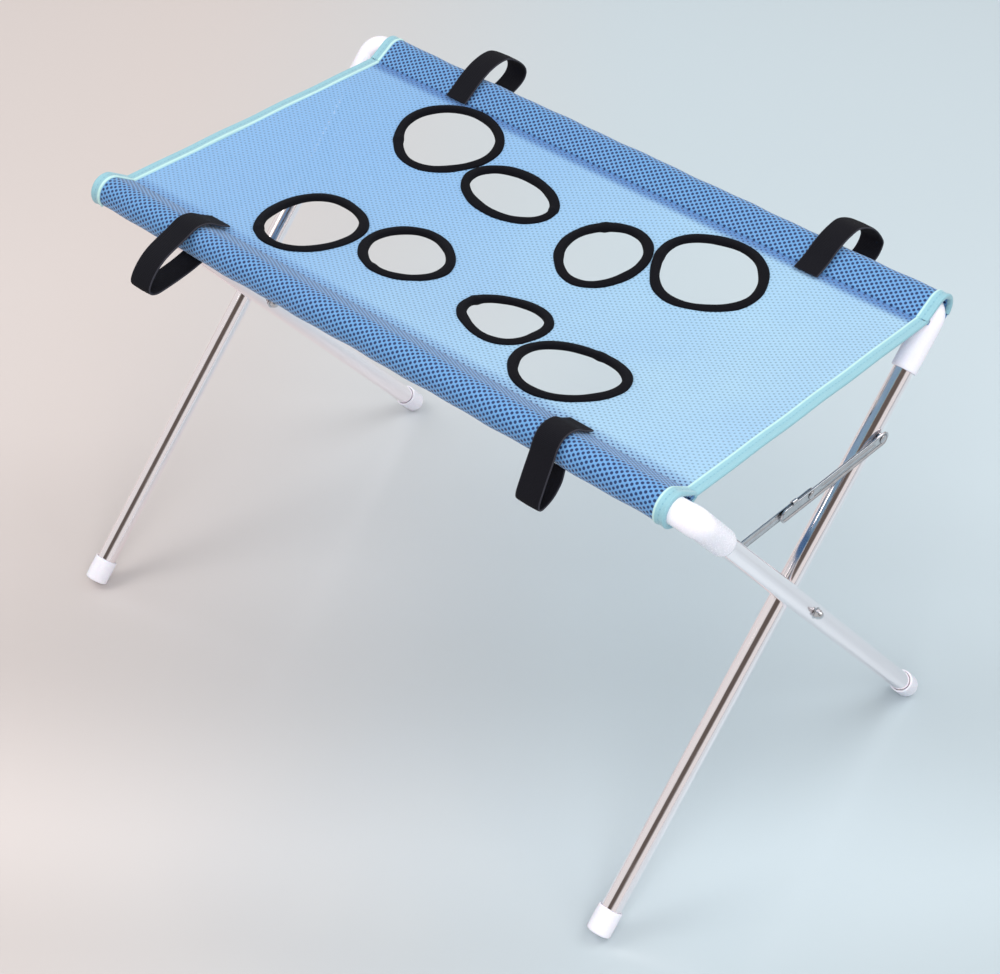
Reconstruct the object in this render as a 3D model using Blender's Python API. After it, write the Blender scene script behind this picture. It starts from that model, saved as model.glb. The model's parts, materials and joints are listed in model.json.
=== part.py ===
"""Folding X-frame stand with a mesh sling that has eight leg holes.

Two identical tube frames cross at two pivot bolts. Frame A carries the far rail (+Y) and stands on
the near feet; frame B is frame A turned half a turn about Z. X runs along the rails, Y is the depth,
Z is up, and the feet stand on Z = 0. Each end has a folding brace of two links. Metres.
"""
import math

import bmesh
import bpy
import numpy as np
from mathutils import Vector
from mathutils.geometry import delaunay_2d_cdt

# ---- driving dimensions -------------------------------------------------------------------------
CLEAR = 0.0003            # gap between two pieces that touch or run in each other

TUBE_OD = 0.019
TUBE_WALL = 0.0012
RAIL_LENGTH = 0.676       # corner to corner of one frame, on the tube axes
LEG_UP = 0.2815           # pivot to rail axis, along the leg
LEG_DOWN = 0.341          # pivot to the foot's end face, along the leg
LEAN = math.radians(41.8)  # lean of each leg from the vertical when open
FRAME_GAP = 0.007         # clear gap between the crossing tubes, which holds the brace

ELBOW_WALL = 0.0025
ELBOW_BEND = 0.0145       # radius of the elbow's centre line
ELBOW_LEG = 0.060         # corner to the end of the leg socket
ELBOW_RAIL = 0.050        # corner to the end of the rail socket
CAP_WALL = 0.00215
CAP_LENGTH = 0.025
CAP_FLOOR = 0.006
CAP_ROUND = 0.0018
CAP_FACET = 0.0004        # depth of the flat that the foot stands on

BOLT_R = 0.0025
BOLT_HEAD_R = 0.0050
BOLT_HEAD_H = 0.0026
NUT_FLATS = 0.008
NUT_HEIGHT = 0.0042
NUT_FLANGE_R = 0.0056
NUT_FLANGE_H = 0.0009
SPACER_WALL = 0.0022

BRACE_UP = 0.160          # pivot to the brace rivet, along the leg
LINK_WIDTH = 0.0130
LINK_INNER_WIDTH = 0.0100
LINK_PLATE = 0.0012
LINK_FLANGE = 0.0030
LINK_OVERRUN = 0.037      # upper link beyond the middle rivet
BEAD_HEIGHT = 0.0007
BEAD_WIDTH = 0.0042
BEAD_MARGIN = 0.012       # rivet to the end of the bead
RIVET_R = 0.0019
RIVET_HEAD_R = 0.0040
RIVET_HEAD_H = 0.0016
TAB_PLACE = 0.026         # stop tab's middle, beyond the middle rivet
TAB_LENGTH = 0.006
TAB_THICK = 0.0014

SLING_INSET = 0.006       # end of the rail to the outer edge of the sling's end tape
SLEEVE_SLACK = 0.0007     # elbow to the inside of the sleeve
SLEEVE_WALL = 0.0020
SEAM_IN = 0.026           # rail axis to the seam that closes the sleeve
SEAM_THICK = 0.0030
PANEL_THICK = 0.0016
PANEL_SAG = 0.014
TAPE_THICK = 0.0011
TAPE_WIDTH = 0.015
BAND_WIDTH = 0.0083       # width of the binding round a leg hole
BAND_THICK = 0.0017
STRAP_WIDTH = 0.0254
STRAP_THICK = 0.0018
STRAP_INSET = 0.120       # outer edge of the end tape to the middle of a strap loop

# Leg holes: middle x, middle y, half length, half width, turn of the length from X in degrees.
HOLES = {
    "far_left_big": (-0.1750, 0.1058, 0.0473, 0.0450, 137),
    "far_left_small": (-0.0700, 0.0768, 0.0451, 0.0277, -4),
    "far_right_small": (0.0549, 0.0602, 0.0418, 0.0338, 96),
    "far_right_big": (0.1453, 0.0980, 0.0486, 0.0442, 151),
    "near_left_big": (-0.1617, -0.0903, 0.0491, 0.0377, 96),
    "near_left_small": (-0.0700, -0.0617, 0.0395, 0.0354, 133),
    "near_right_small": (0.0608, -0.0791, 0.0338, 0.0314, 3),
    "near_right_big": (0.1519, -0.1031, 0.0438, 0.0383, 29),
}

# Strap loops: points of the strap's middle surface in millimetres, outboard of and above the rail
# axis, from the end sewn on top of the seam round the outside to the end sewn below the sleeve.
# They are drawn for a sleeve of STRAP_SLEEVE_R and grow with the sleeve.
STRAP_SLEEVE_R = 0.0147
STRAPS = {
    "far_right": [(-37, 2.6), (-22, 9), (-8, 18), (8, 24), (25, 25), (48, 14), (65, -3), (69, -13),
                  (60, -24), (38, -27), (18, -22), (5, -17)],
    "far_left": [(-30, 2.8), (-19, 10), (-7, 18), (8, 25), (24, 28), (37, 26), (54, 15), (62, 4),
                 (58, -6), (43, -13), (24, -17), (5, -17.5)],
    "near_left": [(-33, 2.6), (-21, 9), (-9, 16), (4, 17.5), (18, 12), (42, 2), (56, -10), (62, -22),
                  (55, -28), (37, -26.5), (15, -22.5), (-1, -18)],
    "near_right": [(-30, 2.6), (-19, 8.5), (-8, 15.6), (5, 17), (14, 11), (20, -2), (28, -20),
                   (34, -37), (30, -43), (17, -39), (7, -29), (3, -17.5)],
}

# ---- what follows from them ---------------------------------------------------------------------
TUBE_R = TUBE_OD / 2
ELBOW_R = TUBE_R + ELBOW_WALL
CAP_R = TUBE_R + CAP_WALL
SLEEVE_R = ELBOW_R + SLEEVE_SLACK + SLEEVE_WALL
SLING_HALF = RAIL_LENGTH / 2 - SLING_INSET
STRAP_X = SLING_HALF - STRAP_INSET
FRAME_SHIFT = TUBE_OD + FRAME_GAP
RAIL_Y = LEG_UP * math.sin(LEAN)
FOOT_Y = LEG_DOWN * math.sin(LEAN)
FOOT_Z = ((CAP_R - CAP_ROUND) * math.sin(LEAN) + CAP_ROUND - CAP_ROUND * math.cos(LEAN)) - CAP_FACET
PIVOT_Z = FOOT_Z + LEG_DOWN * math.cos(LEAN)
RAIL_Z = PIVOT_Z + LEG_UP * math.cos(LEAN)
LINK_REACH = BRACE_UP * math.sin(LEAN)
BRACE_Z = PIVOT_Z + BRACE_UP * math.cos(LEAN)
FABRIC_END = SLING_HALF - TAPE_THICK - CLEAR
PANEL_EDGE = RAIL_Y - SEAM_IN - CLEAR
SAG_END = SLING_HALF - TAPE_WIDTH - 0.001

# Layers across the gap between the crossing tubes, measured from the face of frame A's tube.
LOWER_LINK_AT = 0.0008
UPPER_LINK_AT = LOWER_LINK_AT + LINK_PLATE + 0.0010

X = Vector((1, 0, 0))


# ---- helpers ------------------------------------------------------------------------------------
def clear_scene():
    for item in list(bpy.data.objects):
        bpy.data.objects.remove(item, do_unlink=True)


def make_material(name, color, roughness, metallic=0.0):
    material = bpy.data.materials.new(name)
    material.use_nodes = True
    shader = material.node_tree.nodes["Principled BSDF"]
    shader.inputs["Base Color"].default_value = (*color, 1)
    shader.inputs["Roughness"].default_value = roughness
    shader.inputs["Metallic"].default_value = metallic
    material.diffuse_color = (*color, 1)
    return material


def make_empty(name, place):
    empty = bpy.data.objects.new(name, None)
    bpy.context.scene.collection.objects.link(empty)
    empty.location = place
    bpy.context.view_layer.update()
    return empty


def add_mesh(name, points, faces, look, parent=None):
    """A closed mesh with its faces turned outward, under its own material and its body's empty."""
    mesh = bpy.data.meshes.new(name)
    mesh.from_pydata([tuple(p) for p in points], [], [tuple(f) for f in faces])
    shape = bmesh.new()
    shape.from_mesh(mesh)
    bmesh.ops.recalc_face_normals(shape, faces=shape.faces)
    if shape.calc_volume(signed=True) < 0:
        bmesh.ops.reverse_faces(shape, faces=shape.faces)
    shape.to_mesh(mesh)
    shape.free()
    mesh.shade_smooth()
    mesh.set_sharp_from_angle(angle=math.radians(35))
    thing = bpy.data.objects.new(name, mesh)
    bpy.context.scene.collection.objects.link(thing)
    if look is not None:
        mesh.materials.append(make_material(name, *look))
    if parent is not None:
        thing.parent = parent
        thing.matrix_parent_inverse = parent.matrix_world.inverted()
    return thing


def skin(name, sections, look, parent=None, closed=False):
    """Closed outlines (n, k, 3) joined in order; the ends are capped, or joined if closed."""
    sections = np.asarray(sections, dtype=float)
    n, k = sections.shape[:2]
    faces = []
    for i in range(n if closed else n - 1):
        j = (i + 1) % n
        for a in range(k):
            b = (a + 1) % k
            faces.append((i * k + a, i * k + b, j * k + b, j * k + a))
    if not closed:
        faces.append(range(k))
        faces.append(range((n - 1) * k, n * k))
    return add_mesh(name, sections.reshape(-1, 3), faces, look, parent)


def circle_round(centre, across, up, radius, sides):
    turn = np.linspace(0, 2 * math.pi, sides, endpoint=False)[:, None]
    return np.array(centre) + radius * (np.cos(turn) * np.array(across) + np.sin(turn) * np.array(up))


def turned(name, start, direction, profile, look, parent=None, closed=False, sides=32):
    """A turned piece: profile holds (distance along direction, radius) pairs."""
    direction = Vector(direction).normalized()
    across = direction.orthogonal().normalized()
    up = direction.cross(across)
    sections = [circle_round(Vector(start) + direction * along, across, up, radius, sides)
                for along, radius in profile]
    return skin(name, sections, look, parent, closed)


def box(name, low, high):
    points = [(x, y, z) for x in (low[0], high[0]) for y in (low[1], high[1]) for z in (low[2], high[2])]
    faces = [(0, 1, 3, 2), (4, 6, 7, 5), (0, 4, 5, 1), (2, 3, 7, 6), (0, 2, 6, 4), (1, 5, 7, 3)]
    return add_mesh(name, points, faces, None)


def combine(target, tool, operation):
    """Apply one exact Boolean with a hidden tool that stays as a wire guide."""
    tool.hide_render = True
    tool.display_type = "WIRE"
    step = target.modifiers.new(tool.name, "BOOLEAN")
    step.operation = operation
    step.object = tool
    return target


def drill(target, start, direction, length, radius):
    name = "%s_drill_%d" % (target.name, len(target.modifiers))
    tool = turned(name, start, direction, [(0, radius), (length, radius)], None, sides=24)
    return combine(target, tool, "DIFFERENCE")


# ---- tube frames --------------------------------------------------------------------------------
CHROME = ((0.78, 0.78, 0.80), 0.12, 1.0)
WHITE_PLASTIC = ((0.90, 0.90, 0.93), 0.30)
STEEL = ((0.66, 0.66, 0.68), 0.25, 1.0)
MESH_DARK = ((0.16, 0.34, 0.72), 0.75)
MESH_LIGHT = ((0.36, 0.58, 0.86), 0.75)
TAPE_AQUA = ((0.52, 0.84, 0.92), 0.60)
BLACK_WEB = ((0.012, 0.012, 0.015), 0.85)


def frame_points(side, end):
    """Corner, pivot and foot of one leg; side is +1 for frame A and -1 for B, end is +1 right."""
    x = end * RAIL_LENGTH / 2 - side * FRAME_SHIFT / 2
    corner = Vector((x, side * RAIL_Y, RAIL_Z))
    pivot = Vector((x, 0, PIVOT_Z))
    foot = Vector((x, -side * FOOT_Y, FOOT_Z))
    return corner, pivot, foot


def tube(name, start, finish, parent):
    length = (finish - start).length
    inner = TUBE_R - TUBE_WALL
    profile = [(0, TUBE_R), (length, TUBE_R), (length, inner), (0, inner)]
    return turned(name, start, finish - start, profile, CHROME, parent, closed=True)


def build_elbow(name, corner, along_rail, along_leg, parent):
    """Moulded elbow: a blind bore for each tube, and one swept bend between the two sockets."""
    bore = TUBE_R + CLEAR
    floor = ELBOW_BEND + 0.004
    chamfer = 0.0008
    side = along_rail.cross(along_leg).normalized()

    def ring(centre, heading, radius):
        return circle_round(centre, side, heading.cross(side), radius, 24)

    sections = [ring(corner + along_rail * floor, -along_rail, bore),
                ring(corner + along_rail * ELBOW_RAIL, -along_rail, bore),
                ring(corner + along_rail * ELBOW_RAIL, -along_rail, ELBOW_R - chamfer),
                ring(corner + along_rail * (ELBOW_RAIL - chamfer), -along_rail, ELBOW_R)]
    centre = corner + (along_rail + along_leg) * ELBOW_BEND
    steps = 8
    for i in range(steps + 1):
        turn = math.pi / 2 * i / steps
        heading = -along_rail * math.cos(turn) + along_leg * math.sin(turn)
        outward = -along_leg * math.cos(turn) - along_rail * math.sin(turn)
        sections.append(ring(centre + outward * ELBOW_BEND, heading, ELBOW_R))
    sections += [ring(corner + along_leg * (ELBOW_LEG - chamfer), along_leg, ELBOW_R),
                 ring(corner + along_leg * ELBOW_LEG, along_leg, ELBOW_R - chamfer),
                 ring(corner + along_leg * ELBOW_LEG, along_leg, bore),
                 ring(corner + along_leg * floor, along_leg, bore)]
    return skin(name, sections, WHITE_PLASTIC, parent)


def build_foot_cap(name, foot, up_leg, parent):
    """Push-on cap with a rounded end, cut flat where it stands."""
    bore = TUBE_R + CLEAR
    rounded = [(CAP_ROUND * (1 - math.cos(t)), CAP_R - CAP_ROUND * (1 - math.sin(t)))
               for t in np.linspace(0, math.pi / 2, 4)]
    mouth = [(CAP_LENGTH - 0.0006, CAP_R), (CAP_LENGTH, CAP_R - 0.0006), (CAP_LENGTH, bore)]
    profile = rounded + mouth + [(CAP_FLOOR, bore)]
    cap = turned(name, foot, up_leg, profile, WHITE_PLASTIC, parent)
    reach = 3 * CAP_R
    low = (foot.x - reach, foot.y - reach, -reach)
    high = (foot.x + reach, foot.y + reach, 0)
    return combine(cap, box(name + "_ground", low, high), "DIFFERENCE")


def build_frame(letter, side, parent):
    socket_floor = ELBOW_BEND + 0.004 + CLEAR
    rail_ends = []
    for end_name, end in (("right", 1), ("left", -1)):
        tag = "%s_%s" % (letter, end_name)
        corner, pivot, foot = frame_points(side, end)
        down = (foot - corner).normalized()
        inboard = -X * end
        build_elbow("corner_elbow_" + tag, corner, inboard, down, parent)
        top = corner + down * socket_floor
        leg = tube("leg_tube_" + tag, top, foot - down * (CAP_FLOOR + CLEAR), parent)
        drill(leg, pivot - X * TUBE_OD, X, 2 * TUBE_OD, BOLT_R + CLEAR)
        rivet = pivot - down * BRACE_UP
        drill(leg, rivet, X * side, TUBE_OD, RIVET_R + CLEAR)
        build_foot_cap("foot_cap_" + tag, foot, -down, parent)
        rail_ends.append(corner + inboard * socket_floor)
    tube("rail_tube_" + letter, rail_ends[0], rail_ends[1], parent)


# ---- pivots -------------------------------------------------------------------------------------
def dome(start, base_radius, height, steps=4):
    """Points of a dome that closes towards larger distances, with a small flat at its top."""
    angles = np.linspace(0, math.radians(80), steps)
    return [(start + height * math.sin(t) / math.sin(angles[-1]), base_radius * math.cos(t)) for t in angles]


def build_nut(name, face, parent):
    """Flanged cap nut over the bolt's end: blind bore, round flange, six flats and a dome."""
    sides = 24
    turn = np.linspace(0, 2 * math.pi, sides, endpoint=False)
    hexagon = NUT_FLATS / 2 / np.cos((turn % (math.pi / 3)) - math.pi / 6)
    bore = np.full(sides, BOLT_R + CLEAR)
    flange = np.full(sides, NUT_FLANGE_R)
    top = NUT_FLANGE_H + NUT_HEIGHT
    steps = [(top - 0.0010, bore), (0, bore), (0, flange), (NUT_FLANGE_H, flange),
             (NUT_FLANGE_H, hexagon), (top - 0.0008, hexagon)]
    steps += [(along, np.full(sides, radius)) for along, radius in dome(top, NUT_FLATS / 2 - 0.0003, 0.0026)]
    sections = [np.stack([np.full(sides, face.x + along), face.y + radius * np.cos(turn),
                          face.z + radius * np.sin(turn)], axis=1) for along, radius in steps]
    return skin(name, sections, CHROME, parent)


def build_pivot(end_name, end, body_a, body_b):
    _, pivot_a, _ = frame_points(1, end)
    _, pivot_b, _ = frame_points(-1, end)
    face_a = pivot_a - X * (TUBE_R + CLEAR)
    face_b = pivot_b + X * (TUBE_R + CLEAR)
    length = (face_b - face_a).length + NUT_FLANGE_H + NUT_HEIGHT - 0.0010 - CLEAR
    head = [(-along, radius) for along, radius in reversed(dome(0, BOLT_HEAD_R, BOLT_HEAD_H))]
    profile = head + [(0, BOLT_R), (length - 0.0004, BOLT_R), (length, BOLT_R - 0.0004)]
    turned("pivot_bolt_" + end_name, face_a, X, profile, CHROME, body_a, sides=20)
    gap_start = pivot_a + X * (TUBE_R + CLEAR)
    gap = FRAME_GAP - 2 * CLEAR
    ring = [(0, BOLT_R + CLEAR), (0, BOLT_R + SPACER_WALL), (gap, BOLT_R + SPACER_WALL), (gap, BOLT_R + CLEAR)]
    turned("pivot_spacer_" + end_name, gap_start, X, ring, WHITE_PLASTIC, body_a, closed=True)
    build_nut("pivot_nut_" + end_name, face_b, body_a)


# ---- folding brace ------------------------------------------------------------------------------
def stadium(length, width, inset, corner_steps=8):
    """Outline of a link in its own plane: a rivet at 0 and one at length, round ends."""
    radius = width / 2 - inset
    turn = np.linspace(-math.pi / 2, math.pi / 2, corner_steps + 1)
    far = np.stack([length + radius * np.cos(turn), radius * np.sin(turn)], axis=1)
    near = np.stack([-radius * np.cos(turn), -radius * np.sin(turn)], axis=1)
    return np.concatenate([far, near])


def build_link(name, start, heading, length, width, plate_at, flange, holes, look, parent):
    """Stamped link lying in a plane across X, flanged towards +X, with a raised bead in its floor."""
    bead_start = holes[0] + BEAD_MARGIN
    bead_length = holes[1] - holes[0] - 2 * BEAD_MARGIN
    bead_shift = np.array([bead_start, 0])
    layers = [(stadium(length, width, 0), 0.0), (stadium(length, width, 0), flange)]
    if flange > LINK_PLATE:
        layers += [(stadium(length, width, LINK_PLATE), flange),
                   (stadium(length, width, LINK_PLATE + 0.0002), LINK_PLATE)]
    layers += [(bead_shift + stadium(bead_length, BEAD_WIDTH, 0), LINK_PLATE),
               (bead_shift + stadium(bead_length, BEAD_WIDTH, 0.0005), LINK_PLATE + BEAD_HEIGHT)]
    sections = []
    for outline, level in layers:
        points = np.empty((len(outline), 3))
        points[:, 0] = plate_at + level
        points[:, 1] = start.y + heading * outline[:, 0]
        points[:, 2] = start.z + outline[:, 1]
        sections.append(points)
    link = skin(name, sections, look, parent)
    for place in holes:
        at = Vector((plate_at - 0.002, start.y + heading * place, start.z))
        drill(link, at, X, 0.002 + LINK_FLANGE + 0.002, RIVET_R + CLEAR)
    return link


def rivet(name, face, direction, reach, parent):
    """Domed rivet: its head stands on the face, its shank runs the other way for reach."""
    head = [(-along, radius) for along, radius in reversed(dome(0, RIVET_HEAD_R, RIVET_HEAD_H))]
    profile = head + [(0, RIVET_R), (reach, RIVET_R)]
    return turned(name, face, direction, profile, STEEL, parent, sides=16)


def spacer(name, start, length, parent):
    ring = [(0, RIVET_R + CLEAR), (0, RIVET_HEAD_R), (length, RIVET_HEAD_R), (length, RIVET_R + CLEAR)]
    return turned(name, start, X, ring, STEEL, parent, closed=True, sides=24)


def build_brace(end_name, end, body_a, body_b, upper, lower):
    face = frame_points(1, end)[1].x + TUBE_R
    face_b = frame_points(-1, end)[1].x - TUBE_R
    at_a = Vector((0, LINK_REACH, BRACE_Z))
    at_b = Vector((0, -LINK_REACH, BRACE_Z))
    upper_at = face + UPPER_LINK_AT
    lower_at = face + LOWER_LINK_AT

    link = build_link("brace_upper_link_" + end_name, at_a, -1, LINK_REACH + LINK_OVERRUN, LINK_WIDTH,
                      upper_at, LINK_FLANGE, [0, LINK_REACH], STEEL, upper)
    tab_low = LINK_INNER_WIDTH / 2 + CLEAR
    tab = box("brace_stop_tab_" + end_name,
              (lower_at, -TAB_PLACE - TAB_LENGTH / 2, BRACE_Z + tab_low),
              (upper_at + LINK_FLANGE - 0.0004, -TAB_PLACE + TAB_LENGTH / 2, BRACE_Z + tab_low + TAB_THICK))
    combine(link, tab, "UNION")
    build_link("brace_lower_link_" + end_name, at_b, 1, LINK_REACH, LINK_INNER_WIDTH,
               lower_at, LINK_PLATE, [0, LINK_REACH], STEEL, lower)

    floor = upper_at + LINK_PLATE + CLEAR
    back = lower_at - CLEAR
    wall = TUBE_WALL + 0.002
    rivet("brace_leg_rivet_a_" + end_name, Vector((floor, at_a.y, at_a.z)), -X,
          floor - face + wall, body_a)
    rivet("brace_leg_rivet_b_" + end_name, Vector((back, at_b.y, at_b.z)), X,
          face_b - back + wall, body_b)
    spacer("brace_spacer_a_" + end_name, Vector((face + CLEAR, at_a.y, at_a.z)),
           UPPER_LINK_AT - 2 * CLEAR, body_a)
    above_lower = lower_at + LINK_PLATE + CLEAR
    spacer("brace_spacer_b_" + end_name, Vector((above_lower, at_b.y, at_b.z)),
           face_b - CLEAR - above_lower, body_b)
    rivet("brace_middle_rivet_head_" + end_name, Vector((floor, 0, BRACE_Z)), -X,
          LINK_PLATE + CLEAR, upper)
    rivet("brace_middle_rivet_tail_" + end_name, Vector((back, 0, BRACE_Z)), X,
          LINK_PLATE + CLEAR, lower)


# ---- sling --------------------------------------------------------------------------------------
def teardrop(radius, tail, half, steps=24):
    """Open outline round a rail, from the seam's top over the rail to the seam's underside."""
    lift = math.asin(radius / math.hypot(tail, half)) - math.atan2(half, tail)
    turn = np.linspace(math.pi / 2 + lift, -math.pi / 2 - lift, steps)
    arc = radius * np.stack([np.cos(turn), np.sin(turn)], axis=1)
    return np.concatenate([[(-tail, half)], arc, [(-tail, -half)]])


def at_rail(outline, x, side):
    """Outboard and height pairs placed round the rail on the given side."""
    return np.stack([np.full(len(outline), x), side * (RAIL_Y + outline[:, 0]), RAIL_Z + outline[:, 1]], axis=1)


def sleeve_outlines():
    outer = teardrop(SLEEVE_R, SEAM_IN, SEAM_THICK / 2)
    slope = math.asin(SLEEVE_R / math.hypot(SEAM_IN, SEAM_THICK / 2)) - math.atan2(SEAM_THICK / 2, SEAM_IN)
    radius = SLEEVE_R - SLEEVE_WALL
    tail = SEAM_IN - 3 * SLEEVE_WALL
    half = (radius / math.sin(slope) - tail) * math.tan(slope)
    return outer, teardrop(radius, tail, half)


def build_sleeve(letter, side, parent):
    """Fabric tunnel round one rail, cut away below where the leg leaves through it."""
    outer, inner = sleeve_outlines()
    sections = [at_rail(outer, -FABRIC_END, side), at_rail(outer, FABRIC_END, side),
                at_rail(inner, FABRIC_END, side), at_rail(inner, -FABRIC_END, side)]
    sleeve = skin("rail_sleeve_" + letter, sections, MESH_DARK, parent, closed=True)
    corner, _, foot = frame_points(side, side)
    down = (foot - corner).normalized()
    across = down.cross(X)
    half = ELBOW_R + 2 * CLEAR
    notch_start = corner - X * side * (ELBOW_BEND + 2 * CLEAR)
    corners = []
    for along in (0, side * 0.05):
        for depth in (0.003, 0.040):
            for sway in (-half, half):
                corners.append(notch_start + X * along + down * depth + across * sway)
    faces = [(0, 1, 3, 2), (4, 6, 7, 5), (0, 4, 5, 1), (2, 3, 7, 6), (0, 2, 6, 4), (1, 5, 7, 3)]
    notch = add_mesh("rail_sleeve_%s_notch" % letter, corners, faces, None)
    return combine(sleeve, notch, "DIFFERENCE")


def build_mouth_binding(letter, side, end_name, end, parent):
    """Tape folded over a sleeve's mouth: a band outside it and a lip over its cut edge."""
    gap = CLEAR
    skin_in = teardrop(SLEEVE_R + gap, SEAM_IN, SEAM_THICK / 2 + gap)
    skin_out = teardrop(SLEEVE_R + gap + TAPE_THICK, SEAM_IN, SEAM_THICK / 2 + gap + TAPE_THICK)
    lip = teardrop(SLEEVE_R - SLEEVE_WALL, SEAM_IN, 0.0004)
    levels = [(skin_in, SLING_HALF - TAPE_WIDTH), (skin_out, SLING_HALF - TAPE_WIDTH), (skin_out, SLING_HALF),
              (lip, SLING_HALF), (lip, FABRIC_END + gap), (skin_in, FABRIC_END + gap)]
    stations = np.stack([at_rail(outline, end * x, side) for outline, x in levels], axis=1)
    if end == side:
        corner, _, foot = frame_points(side, end)
        down = np.array((foot - corner).normalized())
        from_rail = stations[:, 0] - np.array(corner)
        from_rail[:, 0] = 0
        stations = stations[:1 + int(np.argmax(from_rail[1:] @ down > 0))]
    return skin("mouth_binding_%s_%s" % (letter, end_name), stations, TAPE_AQUA, parent)


def sag_at(x, y):
    """Drop of the panel: taut at the seams and at the taped ends, deepest in the middle."""
    across = np.clip(1 - (y / PANEL_EDGE) ** 2, 0, 1) ** 1.5
    along = np.clip(1 - np.abs(x / SAG_END) ** 3, 0, 1)
    return PANEL_SAG * across * along


def oval(hole, grow, steps):
    """Outline of a leg hole, grown outward, with the arc spread evenly over steps."""
    x, y, length, width, turn = hole
    angle = np.linspace(0, 2 * math.pi, steps, endpoint=False)
    a = (length + grow) * np.cos(angle)
    b = (width + grow) * np.sin(angle)
    c, s = math.cos(math.radians(turn)), math.sin(math.radians(turn))
    return np.stack([x + a * c - b * s, y + a * s + b * c], axis=1)


def inside_oval(points, hole, grow):
    x, y, length, width, turn = hole
    c, s = math.cos(math.radians(turn)), math.sin(math.radians(turn))
    dx, dy = points[:, 0] - x, points[:, 1] - y
    return ((dx * c + dy * s) / (length + grow)) ** 2 + ((dy * c - dx * s) / (width + grow)) ** 2 < 1


def build_panel(parent):
    """Thin slab with the eight holes, sagging between the two seams."""
    cell = 0.019
    cut_back = BAND_THICK + 2 * CLEAR
    across = round(2 * SAG_END / cell)
    deep = round(2 * PANEL_EDGE / cell)
    xs = np.concatenate([[-FABRIC_END], np.linspace(-SAG_END, SAG_END, across + 1), [FABRIC_END]])
    ys = np.linspace(-PANEL_EDGE, PANEL_EDGE, deep + 1)
    edge = [(x, -PANEL_EDGE) for x in xs[:-1]] + [(FABRIC_END, y) for y in ys[:-1]]
    edge += [(x, PANEL_EDGE) for x in xs[:0:-1]] + [(-FABRIC_END, y) for y in ys[:0:-1]]
    points = list(edge)
    edges = [(i, (i + 1) % len(edge)) for i in range(len(edge))]
    for hole in HOLES.values():
        first = len(points)
        outline = oval(hole, cut_back, 32)
        points += [tuple(p) for p in outline]
        edges += [(first + i, first + (i + 1) % len(outline)) for i in range(len(outline))]
    inner = np.array([(x, y) for x in xs[1:-1] for y in ys[1:-1]])
    for hole in HOLES.values():
        inner = inner[~inside_oval(inner, hole, cut_back + cell / 3)]
    points += [tuple(p) for p in inner]
    verts, _, faces, _, _, _ = delaunay_2d_cdt([Vector(p) for p in points], edges, [], 1, 1e-7)
    flat = np.array([tuple(v) for v in verts])
    faces = np.array([tuple(f) for f in faces])
    middle = flat[faces].mean(axis=1)
    keep = np.ones(len(faces), dtype=bool)
    for hole in HOLES.values():
        keep &= ~inside_oval(middle, hole, cut_back)
    faces = faces[keep]

    half = PANEL_THICK / 2
    level = RAIL_Z - sag_at(flat[:, 0], flat[:, 1])
    top = np.column_stack([flat, level + half])
    bottom = np.column_stack([flat, level - half])
    count = len(flat)
    steps = {(int(a), int(b)) for f in faces for a, b in ((f[0], f[1]), (f[1], f[2]), (f[2], f[0]))}
    rim = [(a, b) for a, b in steps if (b, a) not in steps]
    solid = [tuple(int(v) for v in f) for f in faces]
    solid += [tuple(int(v) + count for v in reversed(f)) for f in faces]
    solid += [(b, a, a + count, b + count) for a, b in rim]
    used = sorted({v for f in solid for v in f})
    place = {old: new for new, old in enumerate(used)}
    both = np.concatenate([top, bottom])
    return add_mesh("sling_panel", both[used], [[place[v] for v in f] for f in solid], MESH_LIGHT, parent)


def channel(reach, half_gap, thick):
    """Section of a folded tape: (distance in from its fold, height) round a slot of half_gap."""
    outer = half_gap + thick
    return [(reach, outer), (0, outer), (0, -outer), (reach, -outer),
            (reach, -half_gap), (thick, -half_gap), (thick, half_gap), (reach, half_gap)]


def build_hole_binding(name, hole, parent):
    """Channel of folded tape sewn over the raw edge of one leg hole, following the sag."""
    sections = []
    for reach, height in channel(BAND_WIDTH, PANEL_THICK / 2 + CLEAR, BAND_THICK):
        outline = oval(hole, reach, 32)
        level = RAIL_Z - sag_at(outline[:, 0], outline[:, 1]) + height
        sections.append(np.column_stack([outline, level]))
    return skin("hole_binding_" + name, np.stack(sections, axis=1), BLACK_WEB, parent, closed=True)


def build_end_tape(end_name, end, parent):
    """Tape folded over the panel's short edge, from seam to seam."""
    stations = []
    for y in np.linspace(-PANEL_EDGE, PANEL_EDGE, 9):
        stations.append([(end * (SLING_HALF - reach), y, RAIL_Z + height)
                         for reach, height in channel(TAPE_WIDTH, PANEL_THICK / 2 + CLEAR, TAPE_THICK)])
    return skin("end_tape_" + end_name, stations, TAPE_AQUA, parent)


def smooth_path(points, per_span=3):
    """Catmull-Rom curve through the points."""
    p = np.array(points, dtype=float)
    p = np.concatenate([[2 * p[0] - p[1]], p, [2 * p[-1] - p[-2]]])
    t = np.linspace(0, 1, per_span, endpoint=False)[:, None]
    spans = [0.5 * (2 * b + (c - a) * t + (2 * a - 5 * b + 4 * c - d) * t ** 2 + (3 * b - a - 3 * c + d) * t ** 3)
             for a, b, c, d in zip(p[:-3], p[1:-2], p[2:-1], p[3:])]
    return np.concatenate(spans + [p[-2:-1]])


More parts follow.
